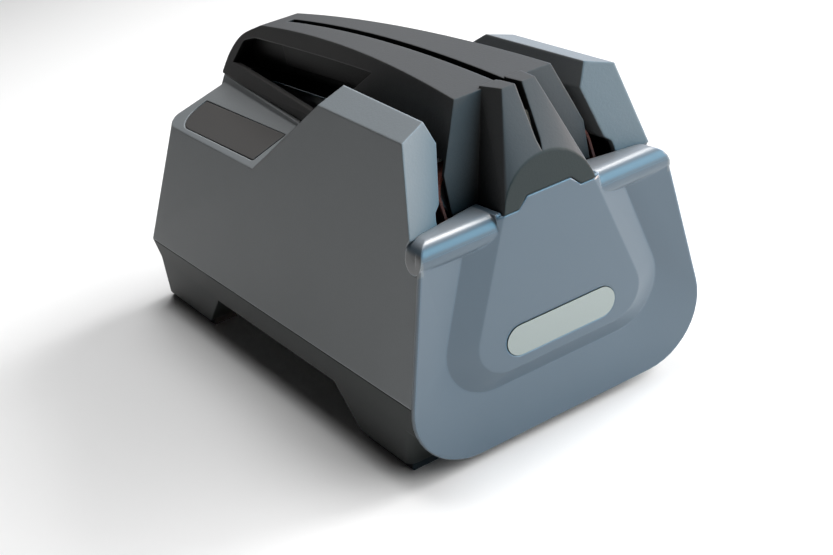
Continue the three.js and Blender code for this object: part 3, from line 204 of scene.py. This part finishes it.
@dataclass(frozen=True)
class LightAndShadeZone:
    """Parts of a moulding recoloured by their place: the main zone paints a highlight in on one
    piece and shade on another.

    Sizes are in millimetres. The main zone starts along one axis, and lies on both sides of a
    middle strip where it has one. A second zone covers the piece's ends, if it has a colour.
    """

    axis: Axis
    start: float
    end: float
    before: str
    after: str
    middle: float = 0.0
    ends_from_middle: float = 0.0
    ends_colour: str = ""
    ends_below_start: float = 9.0
    ends_fade: float = 1.0
    half_fade: float = 0.2

    def paint(
        self, tree: bpy.types.NodeTree, place: bpy.types.NodeSocket
    ) -> bpy.types.NodeSocket:
        """Works out the skin's colour.

        Args:
            tree: Node tree of the material.
            place: Socket of the point's place on the piece.

        Returns:
            Socket of the colour.
        """
        axes = add(tree, "ShaderNodeSeparateXYZ", inputs={"Vector": place})
        along = axes.outputs[self.axis.value]
        share = self.past(tree, along, self.start, self.end)
        if self.middle:
            share = self.share_outside(tree, share, axes, self.middle)
        mix = add(
            tree,
            "ShaderNodeMix",
            {"data_type": "RGBA"},
            {MIX_SHARE: share, MIX_LOW: linear(self.before), MIX_HIGH: linear(self.after)},
        )
        if not self.ends_colour:
            return mix.outputs[MIX_COLOUR]
        low = self.start - self.ends_below_start
        share = self.past(tree, along, low, low + self.ends_fade)
        share = self.share_outside(tree, share, axes, self.ends_from_middle)
        ends = add(
            tree,
            "ShaderNodeMix",
            {"data_type": "RGBA"},
            {
                MIX_SHARE: share,
                MIX_LOW: mix.outputs[MIX_COLOUR],
                MIX_HIGH: linear(self.ends_colour),
            },
        )
        return ends.outputs[MIX_COLOUR]

    def past(
        self, tree: bpy.types.NodeTree, place: bpy.types.NodeSocket, start: float, end: float
    ) -> bpy.types.NodeSocket:
        """Tells the points that lie past a place.

        Args:
            tree: Node tree of the material.
            place: Socket of the point's place along one axis.
            start: Place up to which the share is 0.
            end: Place from which the share is 1.

        Returns:
            Socket of the share.
        """
        share = add(
            tree,
            "ShaderNodeMapRange",
            inputs={"Value": place, "From Min": start * MM, "From Max": end * MM},
        )
        return share.outputs["Result"]

    def share_outside(
        self,
        tree: bpy.types.NodeTree,
        share: bpy.types.NodeSocket,
        axes: bpy.types.Node,
        distance: float,
    ) -> bpy.types.NodeSocket:
        """Keeps a share only further from the middle plane than a distance.

        Args:
            tree: Node tree of the material.
            share: Socket of the share.
            axes: Node with the point's place by axis.
            distance: The distance.

        Returns:
            Socket of the share that is left.
        """
        away = add(tree, "ShaderNodeMath", {"operation": "ABSOLUTE"}, {0: axes.outputs["X"]})
        outside = self.past(
            tree, away.outputs["Value"], distance - self.half_fade, distance + self.half_fade
        )
        left = add(tree, "ShaderNodeMath", {"operation": "MULTIPLY"}, {0: share, 1: outside})
        return left.outputs["Value"]


@dataclass(frozen=True)
class MouldedPlastic:
    """ABS or another plastic from a spark-eroded mould.

    It gives the eye an even, fine-grained sheen. Its colour has a painted highlight that makes
    its edges paler than the faces, and painted shade in deep recesses where it has any.
    """

    name: str
    colour: str
    roughness: float = 0.5
    grain_mm: float = 0.5
    grain_depth_mm: float = 0.012
    grain_detail: float = 3.0
    grain_roughness: float = 0.6
    grain_strength: float = 0.5
    smoother: float = 0.02
    rougher: float = 0.03
    mottle: float = 0.04
    mottles_per_m: float = 22.0
    mottle_detail: float = 2.0
    edge_mm: float = 0.8
    edge_highlight_gain: float = 1.35
    edge_full: float = 0.8
    edge_none: float = 0.99
    samples: int = 8
    specular: float = 0.5
    recess_shade_mm: float = 0.0
    recess_shade_darkest: float = 0.08
    recess_shut: float = 0.42
    recess_open: float = 0.78
    zone: LightAndShadeZone | None = None

    def build(self) -> bpy.types.Material:
        """Builds the material.

        Returns:
            The finished material.
        """
        material, tree = fresh_material(self.name)
        place = add(tree, "ShaderNodeTexCoord").outputs["Object"]
        grain = add(
            tree,
            "ShaderNodeTexNoise",
            inputs={
                "Vector": place,
                "Scale": 1 / (self.grain_mm * MM),
                "Detail": self.grain_detail,
                "Roughness": self.grain_roughness,
            },
        ).outputs["Fac"]
        edge = add(
            tree,
            "ShaderNodeBevel",
            {"samples": self.samples},
            {"Radius": self.edge_mm * MM},
        ).outputs["Normal"]
        polish = add(
            tree,
            "ShaderNodeMapRange",
            inputs={
                "Value": grain,
                "To Min": self.roughness - self.smoother,
                "To Max": self.roughness + self.rougher,
            },
        )
        bump = add(
            tree,
            "ShaderNodeBump",
            inputs={
                "Strength": self.grain_strength,
                "Distance": self.grain_depth_mm * MM,
                "Height": grain,
                "Normal": edge,
            },
        )
        shader = add(
            tree,
            "ShaderNodeBsdfPrincipled",
            inputs={
                "IOR": PLASTIC_IOR,
                "Specular IOR Level": self.specular,
                "Base Color": self.skin(tree, place, edge),
                "Roughness": polish.outputs["Result"],
                "Normal": bump.outputs["Normal"],
            },
        )
        close(tree, shader)
        return material

    def skin(
        self, tree: bpy.types.NodeTree, place: bpy.types.NodeSocket, edge: bpy.types.NodeSocket
    ) -> bpy.types.NodeSocket:
        """Works out the colour of the skin at each point, with its painted highlights and
        painted shade.

        Args:
            tree: Node tree of the material.
            place: Socket of the point's place on the piece.
            edge: Socket of the normal with rounded edges.

        Returns:
            Socket of the colour.
        """
        cloud = add(
            tree,
            "ShaderNodeTexNoise",
            inputs={
                "Vector": place,
                "Scale": self.mottles_per_m,
                "Detail": self.mottle_detail,
            },
        )
        tone = add(
            tree,
            "ShaderNodeMapRange",
            inputs={
                "Value": cloud.outputs["Fac"],
                "To Min": 1 - self.mottle,
                "To Max": 1 + self.mottle,
            },
        )
        face = add(tree, "ShaderNodeNewGeometry")
        flat = add(
            tree,
            "ShaderNodeVectorMath",
            {"operation": "DOT_PRODUCT"},
            {0: edge, 1: face.outputs["Normal"]},
        )
        # Painted highlight: near an edge the colour is lightened, standing for the light its
        # rounding catches.
        painted_edge_highlight = add(
            tree,
            "ShaderNodeMapRange",
            inputs={
                "Value": flat.outputs["Value"],
                "From Min": self.edge_full,
                "From Max": self.edge_none,
                "To Min": self.edge_highlight_gain,
                "To Max": 1.0,
            },
        )
        value = add(
            tree,
            "ShaderNodeMath",
            {"operation": "MULTIPLY"},
            {0: tone.outputs["Result"], 1: painted_edge_highlight.outputs["Result"]},
        )
        # Painted shade: the colour is darkened in recesses where little light would reach.
        if self.recess_shade_mm:
            value = add(
                tree,
                "ShaderNodeMath",
                {"operation": "MULTIPLY"},
                {0: value.outputs["Value"], 1: self.painted_recess_shade(tree)},
            )
        # A zone paints a highlight or shade into the colour by the point's place, as each piece
        # needs.
        base = self.zone.paint(tree, place) if self.zone else linear(self.colour)
        toned = add(
            tree,
            "ShaderNodeHueSaturation",
            inputs={"Color": base, "Value": value.outputs["Value"]},
        )
        return toned.outputs["Color"]

    def painted_recess_shade(self, tree: bpy.types.NodeTree) -> bpy.types.NodeSocket:
        """Paints shade into deep recesses, darkening the skin where ambient occlusion finds
        little open room.

        Args:
            tree: Node tree of the material.

        Returns:
            Socket of the brightness that is left, 1 in the open.
        """
        room = add(
            tree,
            "ShaderNodeAmbientOcclusion",
            {"samples": self.samples},
            {"Distance": self.recess_shade_mm * MM},
        )
        share = add(
            tree,
            "ShaderNodeMapRange",
            inputs={
                "Value": room.outputs["AO"],
                "From Min": self.recess_shut,
                "From Max": self.recess_open,
                "To Min": self.recess_shade_darkest,
                "To Max": 1.0,
            },
        )
        return share.outputs["Result"]


@dataclass(frozen=True)
class Metal:
    """A turned, drawn, wound or plated metal.

    It gives the eye a soft shine broken by the fine marks of its making.
    """

    name: str
    colour: str
    roughness: float = 0.35
    mark_mm: float = 0.4
    mark_depth_mm: float = 0.01
    mark_strength: float = 0.25
    polish_spread: float = 0.08

    def build(self) -> bpy.types.Material:
        """Builds the material.

        Returns:
            The finished material.
        """
        material, tree = fresh_material(self.name)
        place = add(tree, "ShaderNodeTexCoord").outputs["Object"]
        marks = add(
            tree,
            "ShaderNodeTexNoise",
            inputs={"Vector": place, "Scale": 1 / (self.mark_mm * MM)},
        ).outputs["Fac"]
        polish = add(
            tree,
            "ShaderNodeMapRange",
            inputs={
                "Value": marks,
                "To Min": self.roughness - self.polish_spread,
                "To Max": self.roughness + self.polish_spread,
            },
        )
        bump = add(
            tree,
            "ShaderNodeBump",
            inputs={
                "Strength": self.mark_strength,
                "Distance": self.mark_depth_mm * MM,
                "Height": marks,
            },
        )
        shader = add(
            tree,
            "ShaderNodeBsdfPrincipled",
            inputs={
                "Metallic": 1.0,
                "Base Color": linear(self.colour),
                "Roughness": polish.outputs["Result"],
                "Normal": bump.outputs["Normal"],
            },
        )
        close(tree, shader)
        return material


@dataclass(frozen=True)
class GritCloth:
    """Cloth coated with abrasive grit, which gives the eye a coarse red-brown sparkle."""

    name: str
    colour: str
    light: str
    grit_mm: float = 0.35
    grit_depth_mm: float = 0.12
    grit_strength: float = 0.9
    roughness: float = 0.85

    def build(self) -> bpy.types.Material:
        """Builds the material.

        Returns:
            The finished material.
        """
        material, tree = fresh_material(self.name)
        place = add(tree, "ShaderNodeTexCoord").outputs["Object"]
        grit = add(
            tree,
            "ShaderNodeTexVoronoi",
            inputs={"Vector": place, "Scale": 1 / (self.grit_mm * MM)},
        ).outputs["Distance"]
        mix = add(
            tree,
            "ShaderNodeMix",
            {"data_type": "RGBA"},
            {MIX_SHARE: grit, MIX_LOW: linear(self.light), MIX_HIGH: linear(self.colour)},
        )
        bump = add(
            tree,
            "ShaderNodeBump",
            inputs={
                "Strength": self.grit_strength,
                "Distance": self.grit_depth_mm * MM,
                "Height": grit,
            },
        )
        shader = add(
            tree,
            "ShaderNodeBsdfPrincipled",
            inputs={
                "Roughness": self.roughness,
                "IOR": PLASTIC_IOR,
                "Base Color": mix.outputs[MIX_COLOUR],
                "Normal": bump.outputs["Normal"],
            },
        )
        close(tree, shader)
        return material


class Finish(Enum):
    """The finishes of the sharpener's pieces."""

    # Mid-grey satin housing whose pale edges are a painted highlight. The real grain is about
    # 0.2 mm and too fine to show in the render, so it is drawn 1 mm wide.
    HOUSING = MouldedPlastic(
        "satin_grey_abs",
        "717577",
        roughness=0.56,
        grain_mm=1.0,
        grain_depth_mm=0.15,
        edge_mm=1.1,
        edge_highlight_gain=1.6,
    )
    # A base so dark that its form shows only in the sheen of its edges and their painted
    # highlight.
    BASE = MouldedPlastic("charcoal_abs", "1b201f", roughness=0.62, edge_mm=1.0)
    # Glossy blue-grey cover whose pale rim is a strong painted edge highlight. The zone is a
    # painted silvery highlight on the crown of the rolled top edge, on both sides of the badge's
    # pad, and its ends, the roll's end faces, are painted a plain grey close to the housing's.
    COVER = MouldedPlastic(
        "blue_grey_abs",
        "4b5760",
        roughness=0.29,
        grain_depth_mm=0.003,
        edge_mm=1.2,
        edge_highlight_gain=2.4,
        specular=0.65,
        zone=LightAndShadeZone(
            Axis.UP,
            start=91.0,
            end=93.0,
            before="4b5760",
            after="808285",
            middle=21.5,
            ends_from_middle=51.2,
            ends_colour="65686a",
        ),
    )
    # Matt warm black guide, whose painted recess shade takes it almost fully dark in its slots.
    # Its grain is drawn 1 mm wide too, and the zone is painted shade on the front disc of its
    # nose.
    GUIDE = MouldedPlastic(
        "warm_black_abs",
        "424242",
        roughness=0.6,
        grain_mm=1.0,
        grain_depth_mm=0.12,
        edge_mm=0.9,
        specular=0.25,
        recess_shade_mm=40.0,
        zone=LightAndShadeZone(
            Axis.FORWARD, start=-136.8, end=-136.6, before="282c2a", after="424242"
        ),
    )
    # A little paler and smoother than the guide, so the button stands out in the shoulder.
    BUTTON = MouldedPlastic("charcoal_button", "464544", roughness=0.55, edge_mm=0.6)
    # Unpainted milky nylon of small working parts.
    NYLON = MouldedPlastic("natural_nylon", "cfccc2", roughness=0.55)
    # Waxy black of the pulleys, which keeps the belt the only colour in the slots.
    ACETAL = MouldedPlastic("black_acetal", "1b1b1c", roughness=0.4, edge_mm=0.3)
    # Plain black of electrical mouldings.
    SOCKET = MouldedPlastic("black_pbt", "1c1c1d", roughness=0.5, edge_mm=0.4)
    # Shiny green coat of the board.
    BOARD = MouldedPlastic("green_lacquer", "1f5b3a", roughness=0.35, edge_mm=0.2)
    # Chalky white of the honing rods.
    CERAMIC = MouldedPlastic("fired_alumina", "e4e0d4", roughness=0.45, edge_mm=0.3)
    # Dead black of the feet, without any shine.
    RUBBER = MouldedPlastic("black_rubber", "171717", roughness=0.85, edge_mm=0.8)
    # Dull brown-grey of pressed ferrite.
    MAGNET = MouldedPlastic("sintered_ferrite", "3c3a39", roughness=0.75, edge_mm=0.3)
    # Bright, clean shine of shafts, pins and springs.
    STEEL = Metal("ground_steel", "c3c5c8", roughness=0.3)
    # Softer, slightly blue shine of pressings and screws.
    ZINC = Metal("zinc_plate", "9a9da1", roughness=0.42)
    # Warm red-brown of the wound armature.
    COPPER = Metal("wound_copper", "b06a3c", roughness=0.4)
    # Pale matt aluminium, the brightest spot on the cover.
    BADGE = Metal("anodised_badge", "989e9b", roughness=0.5, mark_mm=0.25)
    # Dark red-brown grit with paler grains.
    GRIT = GritCloth("red_brown_grit", "3a1510", "8a4634")


class Palette:
    """Builds each finish once and hands it out."""

    def __init__(self) -> None:
        """Starts with no material built."""
        self.built: dict[Finish, bpy.types.Material] = {}

    def of(self, finish: Finish) -> bpy.types.Material:
        """Gives the material of a finish.

        Args:
            finish: The finish wanted.

        Returns:
            Its material.
        """
        if finish not in self.built:
            self.built[finish] = finish.value.build()
        return self.built[finish]


@dataclass(frozen=True)
class Bench:
    """What every sub-assembly is built with."""

    nodes: dict[str, bpy.types.Object]
    palette: Palette
    smoothing: bpy.types.NodeTree


@dataclass(frozen=True)
class SubAssembly:
    """Pieces that belong together on the real sharpener, each in its own finish."""

    finishes: ClassVar[dict[str, Finish]] = {}

    def build(self, bench: Bench) -> list[bpy.types.Object]:
        """Dresses the CAD nodes and makes the pieces that go with them.

        Args:
            bench: Nodes, finishes and smoothing.

        Returns:
            The pieces.
        """
        return self.dress(bench) + self.make(bench)

    def dress(self, bench: Bench) -> list[bpy.types.Object]:
        """Gives each CAD node its finish and smooth shading.

        Args:
            bench: Nodes, finishes and smoothing.

        Returns:
            The nodes.
        """
        dressed = []
        for name, finish in self.finishes.items():
            node = bench.nodes[name]
            for slot in node.material_slots:
                slot.material = bench.palette.of(finish)
            node.modifiers.new("smooth", "NODES").node_group = bench.smoothing
            dressed.append(node)
        return dressed

    def make(self, bench: Bench) -> list[bpy.types.Object]:
        """Makes no piece, because most sub-assemblies are all CAD nodes."""
        return []

    def piece(
        self, name: str, mesh: bpy.types.Mesh, finish: bpy.types.Material
    ) -> bpy.types.Object:
        """Puts a mesh into the scene as a piece with one finish.

        Args:
            name: Name of the piece and its mesh.
            mesh: The mesh.
            finish: Its material.

        Returns:
            The piece.
        """
        mesh.name = name
        mesh.materials.clear()
        mesh.materials.append(finish)
        piece = bpy.data.objects.new(name, mesh)
        bpy.context.scene.collection.objects.link(piece)
        return piece


@dataclass(frozen=True)
class Housing(SubAssembly):
    """The housing, its base and feet, and the electrical parts fixed inside."""

    finishes: ClassVar[dict[str, Finish]] = {
        "upper_housing": Finish.HOUSING,
        "lower_base": Finish.BASE,
        **{f"rubber_foot_{corner}": Finish.RUBBER for corner in CORNERS},
        **{f"housing_screw_{corner}": Finish.ZINC for corner in CORNERS},
        "start_switch": Finish.NYLON,
        "circuit_board": Finish.BOARD,
        "power_socket": Finish.SOCKET,
    }


@dataclass(frozen=True)
class FrontCover(SubAssembly):
    """The badge, and the moulded cover with a full round roll along its top edge.

    Sizes are in millimetres. The roll is finished in the same way on both sides of the pad.
    """

    finishes: ClassVar[dict[str, Finish]] = {
        "front_cover": Finish.COVER,
        "badge_plate": Finish.BADGE,
    }

    axis_y: float = -129.8
    axis_z: float = 87.8
    radius: float = 5.5
    inner_x: float = 21.5
    outer_x: float = 60.0
    reach: float = 10.0
    steps: int = 96
    end_x: float = 51.6
    end_z: float = 88.0
    end_lean: float = 17.7
    end_y: float = -131.5

    def make(self, bench: Bench) -> list[bpy.types.Object]:
        """Makes the cover in the place of its CAD node.

        Args:
            bench: Nodes, finishes and smoothing.

        Returns:
            The cover's piece.
        """
        mesh = bench.nodes["front_cover"].data.copy()
        piece = self.piece("front_cover_moulding", mesh, bench.palette.of(Finish.COVER))
        piece.modifiers.new("rolled_edge", "NODES").node_group = self.trim()
        piece.modifiers.new("smooth", "NODES").node_group = bench.smoothing
        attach(piece, "housing")
        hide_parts("front_cover")
        return [piece]

    def trim(self) -> bpy.types.NodeTree:
        """Builds the geometry tree that rounds the roll and trims its ends.

        Returns:
            The tree.
        """
        tree, cover = fresh_shape_tree("rolled_edge")
        for side in LEFT_AND_RIGHT:
            cover = self.cut(tree, cover, self.lip(tree, side))
            cover = self.cut(tree, cover, self.end(tree, side))
        add(tree, "NodeGroupOutput", inputs={0: cover})
        return tree

    def cut(
        self, tree: bpy.types.NodeTree, mesh: bpy.types.NodeSocket, tool: bpy.types.NodeSocket
    ) -> bpy.types.NodeSocket:
        """Cuts one mesh out of another.

        Args:
            tree: Geometry tree to add to.
            mesh: Mesh that is cut.
            tool: Mesh that is taken away.

        Returns:
            The mesh that is left.
        """
        boolean = add(
            tree,
            "GeometryNodeMeshBoolean",
            {"operation": "DIFFERENCE", "solver": "EXACT"},
            {0: mesh, 1: tool},
        )
        return boolean.outputs[0]

    def lip(self, tree: bpy.types.NodeTree, side: float) -> bpy.types.NodeSocket:
        """Makes the room above and before the roll on one side.

        Args:
            tree: Geometry tree to add to.
            side: Sign of X on that side.

        Returns:
            A block with the roll taken out of it.
        """
        length = self.outer_x - self.inner_x
        middle = side * (self.outer_x + self.inner_x) / 2
        half = self.reach / 2
        block = add(
            tree,
            "GeometryNodeMeshCube",
            inputs={"Size": (length * MM, self.reach * MM, self.reach * MM)},
        )
        placed = add(
            tree,
            "GeometryNodeTransform",
            inputs={
                "Geometry": block.outputs[0],
                "Translation": (
                    middle * MM,
                    (self.axis_y - half) * MM,
                    (self.axis_z + half) * MM,
                ),
            },
        )
        roll = add(
            tree,
            "GeometryNodeMeshCylinder",
            inputs={
                "Vertices": self.steps,
                "Radius": self.radius * MM,
                "Depth": (length + self.reach) * MM,
            },
        )
        laid = add(
            tree,
            "GeometryNodeTransform",
            inputs={
                "Geometry": roll.outputs[0],
                "Translation": (middle * MM, self.axis_y * MM, self.axis_z * MM),
                "Rotation": (0.0, math.pi / 2, 0.0),
            },
        )
        return self.cut(tree, placed.outputs[0], laid.outputs[0])

    def end(self, tree: bpy.types.NodeTree, side: float) -> bpy.types.NodeSocket:
        """Makes the room behind the rim, outside the housing's side.

        Args:
            tree: Geometry tree to add to.
            side: Sign of X on that side.

        Returns:
            A block that leans as the housing's side does.
        """
        lean = math.radians(self.end_lean)
        half = self.reach / 2
        deep = 2 * self.reach * MM
        block = add(
            tree, "GeometryNodeMeshCube", inputs={"Size": (self.reach * MM, deep, deep)}
        )
        placed = add(
            tree,
            "GeometryNodeTransform",
            inputs={
                "Geometry": block.outputs[0],
                "Translation": (
                    side * (self.end_x + half * math.cos(lean)) * MM,
                    (self.end_y + self.reach) * MM,
                    (self.end_z + half * math.sin(lean)) * MM,
                ),
                "Rotation": (0.0, -side * lean, 0.0),
            },
        )
        return placed.outputs[0]


@dataclass(frozen=True)
class KnifeGuide(SubAssembly):
    """The lift-off guide with its honing rods.

    Its web is made here: the thin walls inside that carry on from the knife slot to the rear
    wall, and a sill between the left one and the housing. Sizes are in millimetres, and an
    outline's corners are Y and Z.
    """

    finishes: ClassVar[dict[str, Finish]] = {
        "knife_guide": Finish.GUIDE,
        "honing_rod_front": Finish.CERAMIC,
        "honing_rod_rear": Finish.CERAMIC,
    }

    inner_x: float = 2.7
    outer_x: float = 3.9
    front_y: float = -30.0
    slot_end_y: float = 44.6
    slot_end_roof: float = 132.2
    rear_y: float = 97.2
    wall_foot: float = 111.0
    wall_lap: float = 1.0
    rear_foot: float = 108.22
    low_foot: float = 99.7
    step_y: float = 90.4
    sill_x: tuple[float, float] = (-11.0, -3.3)
    sill_y: tuple[float, float] = (95.6, 96.4)
    sill_z: tuple[float, float] = (108.3, 110.0)
    roof: tuple[tuple[float, float], ...] = (
        (50.0, 131.9),
        (60.0, 130.5),
        (70.0, 127.6),
        (80.0, 123.4),
        (90.0, 116.1),
        (95.0, 112.0),
        (97.2, 110.2),
    )

    def make(self, bench: Bench) -> list[bpy.types.Object]:
        """Makes the web as one piece.

        Args:
            bench: Nodes, finishes and smoothing.

        Returns:
            The web's piece.
        """
        shape = bmesh.new()
        top = [(self.slot_end_y, self.slot_end_roof), *self.roof]
        upper = [(self.rear_y, self.rear_foot), (self.slot_end_y, self.wall_foot)]
        lapped_foot = self.wall_foot + self.wall_lap
        lower = [
            (self.rear_y, self.rear_foot),
            (self.step_y, self.rear_foot),
            (self.step_y, self.low_foot),
            (self.front_y, self.low_foot),
            (self.front_y, lapped_foot),
            (self.slot_end_y, lapped_foot),
        ]
        self.plate(shape, top + upper, -self.outer_x, -self.inner_x)
        self.plate(shape, top + lower, self.inner_x, self.outer_x)
        (near_y, far_y), (low_z, high_z) = self.sill_y, self.sill_z
        sill = [(near_y, low_z), (far_y, low_z), (far_y, high_z), (near_y, high_z)]
        self.plate(shape, sill, *self.sill_x)
        bmesh.ops.recalc_face_normals(shape, faces=shape.faces)
        mesh = bpy.data.meshes.new("guide_web")
        shape.to_mesh(mesh)
        shape.free()
        piece = self.piece("guide_web", mesh, bench.palette.of(Finish.GUIDE))
        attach(piece, "guide")
        return [piece]

    def plate(
        self, shape: bmesh.types.BMesh, outline: Outline, low: float, high: float
    ) -> None:
        """Adds one wall with its outline in the Y-Z plane.

        Args:
            shape: Mesh to add to.
            outline: Corners as Y and Z, all round.
            low: Lowest X of the wall.
            high: Highest X of the wall.
        """
        near, far = (
            [shape.verts.new((x * MM, y * MM, z * MM)) for y, z in outline] for x in (low, high)
        )
        shape.faces.new(near)
        shape.faces.new(far[::-1])
        for i in range(len(outline)):
            j = (i + 1) % len(outline)
            shape.faces.new((near[i], far[i], far[j], near[j]))


@dataclass(frozen=True)
class StartButton(SubAssembly):
    """The sprung start button in the left shoulder."""

    finishes: ClassVar[dict[str, Finish]] = {
        "start_button": Finish.BUTTON,
        "button_spring": Finish.STEEL,
    }


@dataclass(frozen=True)
class BeltDrive(SubAssembly):
    """The abrasive belt, its four pulleys and what holds and tensions them."""

    finishes: ClassVar[dict[str, Finish]] = {
        "abrasive_belt": Finish.GRIT,
        "drive_pulley": Finish.ACETAL,
        **{f"idler_pulley_{side}": Finish.ACETAL for side in SIDES},
        "tension_pulley": Finish.ACETAL,
        **{f"idler_axle_{side}": Finish.STEEL for side in SIDES},
        "tension_axle": Finish.STEEL,
        "tension_arm": Finish.ZINC,
        "arm_pivot_pin": Finish.STEEL,
        "tension_spring": Finish.STEEL,
        "belt_frame": Finish.ZINC,
    }


@dataclass(frozen=True)
class Motor(SubAssembly):
    """The motor with its fan, in its cradle and strap."""

    finishes: ClassVar[dict[str, Finish]] = {
        "motor_can": Finish.ZINC,
        "motor_end_cap": Finish.NYLON,
        **{f"motor_magnet_{side}": Finish.MAGNET for side in SIDES},
        "motor_armature": Finish.COPPER,
        "motor_shaft": Finish.STEEL,
        "cooling_fan": Finish.SOCKET,
        "motor_cradle": Finish.BASE,
        "motor_strap": Finish.ZINC,
    }


@dataclass(frozen=True)
class PhotoCamera:
    """The photograph's viewpoint: place in metres, direction and roll in degrees, and lens."""

    place: tuple[float, float, float] = (-0.23729, -0.517393, 0.26570)
    azimuth: float = -25.558
    elevation: float = 23.231
    roll: float = -12.650
    lens_mm: float = 61.54
    sensor_mm: float = 36.0
    clip_start: float = 0.01
    clip_end: float = 20.0

    def build(self) -> None:
        """Makes the camera and sets it as the scene's."""
        az, el, roll = map(math.radians, (self.azimuth, self.elevation, self.roll))
        back = Vector((math.sin(az) * math.cos(el), -math.cos(az) * math.cos(el), math.sin(el)))
        level = (-back).cross(Vector((0, 0, 1))).normalized()
        upright = level.cross(-back)
        right = math.cos(roll) * level + math.sin(roll) * upright
        up = -math.sin(roll) * level + math.cos(roll) * upright
        data = bpy.data.cameras.new("photo_camera")
        data.lens = self.lens_mm
        data.sensor_width = self.sensor_mm
        data.clip_start = self.clip_start
        data.clip_end = self.clip_end
        camera = bpy.data.objects.new("photo_camera", data)
        turn = Matrix((right, up, back)).transposed().to_4x4()
        camera.matrix_world = Matrix.Translation(self.place) @ turn
        bpy.context.scene.collection.objects.link(camera)
        bpy.context.scene.camera = camera


class Lights(Enum):
    """What a lamp lights, as Blender's state of its link with the floor."""

    FLOOR = "INCLUDE"
    SHARPENER = "EXCLUDE"


@dataclass(frozen=True)
class Lamp:
    """A square soft light that looks at the sharpener, with its place and size in metres."""

    name: str
    place: tuple[float, float, float]
    size: float
    watts: float
    colour: str = "ffffff"
    lights: Lights = Lights.FLOOR
    aim: tuple[float, float, float] = (0.0, 0.0, 0.06)

    def hang(self, floor: bpy.types.Object) -> None:
        """Makes the light and links it with what it lights.

        Args:
            floor: The floor's object.
        """
        data = bpy.data.lights.new(self.name, "AREA")
        data.shape = "SQUARE"
        data.size = self.size
        data.energy = self.watts
        data.color = linear(self.colour)[:3]
        lamp = bpy.data.objects.new(self.name, data)
        lamp.location = self.place
        towards = Vector(self.aim) - Vector(self.place)
        lamp.rotation_mode = "QUATERNION"
        lamp.rotation_quaternion = towards.to_track_quat("-Z", "Y")
        bpy.context.scene.collection.objects.link(lamp)
        receivers = bpy.data.collections.new(self.name + "_receivers")
        receivers.objects.link(floor)
        lamp.light_linking.receiver_collection = receivers
        receivers.collection_objects[0].light_linking.link_state = self.lights.value


@dataclass(frozen=True)
class Studio:
    """A pale floor under soft studio light from the front right and above.

    The photographed floor keeps no tint of the lights that colour the sharpener, so it has
    white lights of its own.
    """

    floor_size: float = 14.0
    floor_colour: str = "f2f2f2"
    floor_roughness: float = 0.9
    floor_specular: float = 0.1
    sky_strength: float = 0.02
    lamps: tuple[Lamp, ...] = (
        Lamp("front_light", (0.95, -1.55, 0.75), 1.5, 41.0, "a2e0ff", Lights.SHARPENER),
        Lamp("low_right_light", (1.6, -0.7, 0.45), 0.7, 35.0, "ffdec6", Lights.SHARPENER),
        Lamp("right_light", (1.5, 0.3, 0.6), 0.9, 26.0, "c9e0ff", Lights.SHARPENER),
        Lamp("top_light", (0.15, 0.25, 1.6), 0.7, 8.0, "fffbfa", Lights.SHARPENER),
        Lamp("crest_light", (0.6, 0.02, 1.44), 0.6, 22.0, "fffdfc", Lights.SHARPENER),
        Lamp("ledge_light", (0.66, 1.2, 0.62), 0.35, 1.0, "fffdfa", Lights.SHARPENER),
        Lamp("floor_front_light", (0.95, -1.55, 0.95), 1.5, 37.0),
        Lamp("floor_right_light", (1.55, -0.35, 0.95), 1.2, 45.0),
        Lamp("floor_top_light", (0.3, 0.15, 1.6), 0.8, 18.0),
    )

    def build(self) -> None:
        """Makes the floor, the sky and the lights."""
        floor = self.floor()
        self.sky()
        for lamp in self.lamps:
            lamp.hang(floor)
            log.info("hung %s", lamp.name)
        bpy.context.scene.view_settings.view_transform = "Standard"

    def floor(self) -> bpy.types.Object:
        """Makes the floor.

        Returns:
            The floor's object.
        """
        half = self.floor_size / 2
        mesh = bpy.data.meshes.new("floor")
        corners = [(-half, -half, 0), (half, -half, 0), (half, half, 0), (-half, half, 0)]
        mesh.from_pydata(corners, [], [(0, 1, 2, 3)])
        floor = bpy.data.objects.new("floor", mesh)
        bpy.context.scene.collection.objects.link(floor)
        # A matt white paper sweep, which shows nothing but the soft shadow.
        material, tree = fresh_material("white_paper_sweep")
        shader = add(
            tree,
            "ShaderNodeBsdfPrincipled",
            inputs={
                "Base Color": linear(self.floor_colour),
                "Roughness": self.floor_roughness,
                "Specular IOR Level": self.floor_specular,
            },
        )
        close(tree, shader)
        mesh.materials.append(material)
        return floor

    def sky(self) -> None:
        """Fills the room with even white light."""
        world = bpy.data.worlds.new("studio")
        world.use_nodes = True
        background = world.node_tree.nodes["Background"]
        background.inputs["Color"].default_value = (1, 1, 1, 1)
        background.inputs["Strength"].default_value = self.sky_strength
        bpy.context.scene.world = world


def main() -> None:
    """Builds the whole scene in order."""
    logging.basicConfig(level=logging.INFO, format="%(name)s: %(message)s")
    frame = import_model()
    PhotoCamera().build()
    bench = Bench(frame["nodes"], Palette(), smooth_by_angle(CREASE))
    for assembly in (Housing(), FrontCover(), KnifeGuide(), StartButton(), BeltDrive(), Motor()):
        for piece in assembly.build(bench):
            log.info("%s: %s is ready", type(assembly).__name__, piece.name)
    Studio().build()


if __name__ == "__main__":
    main()
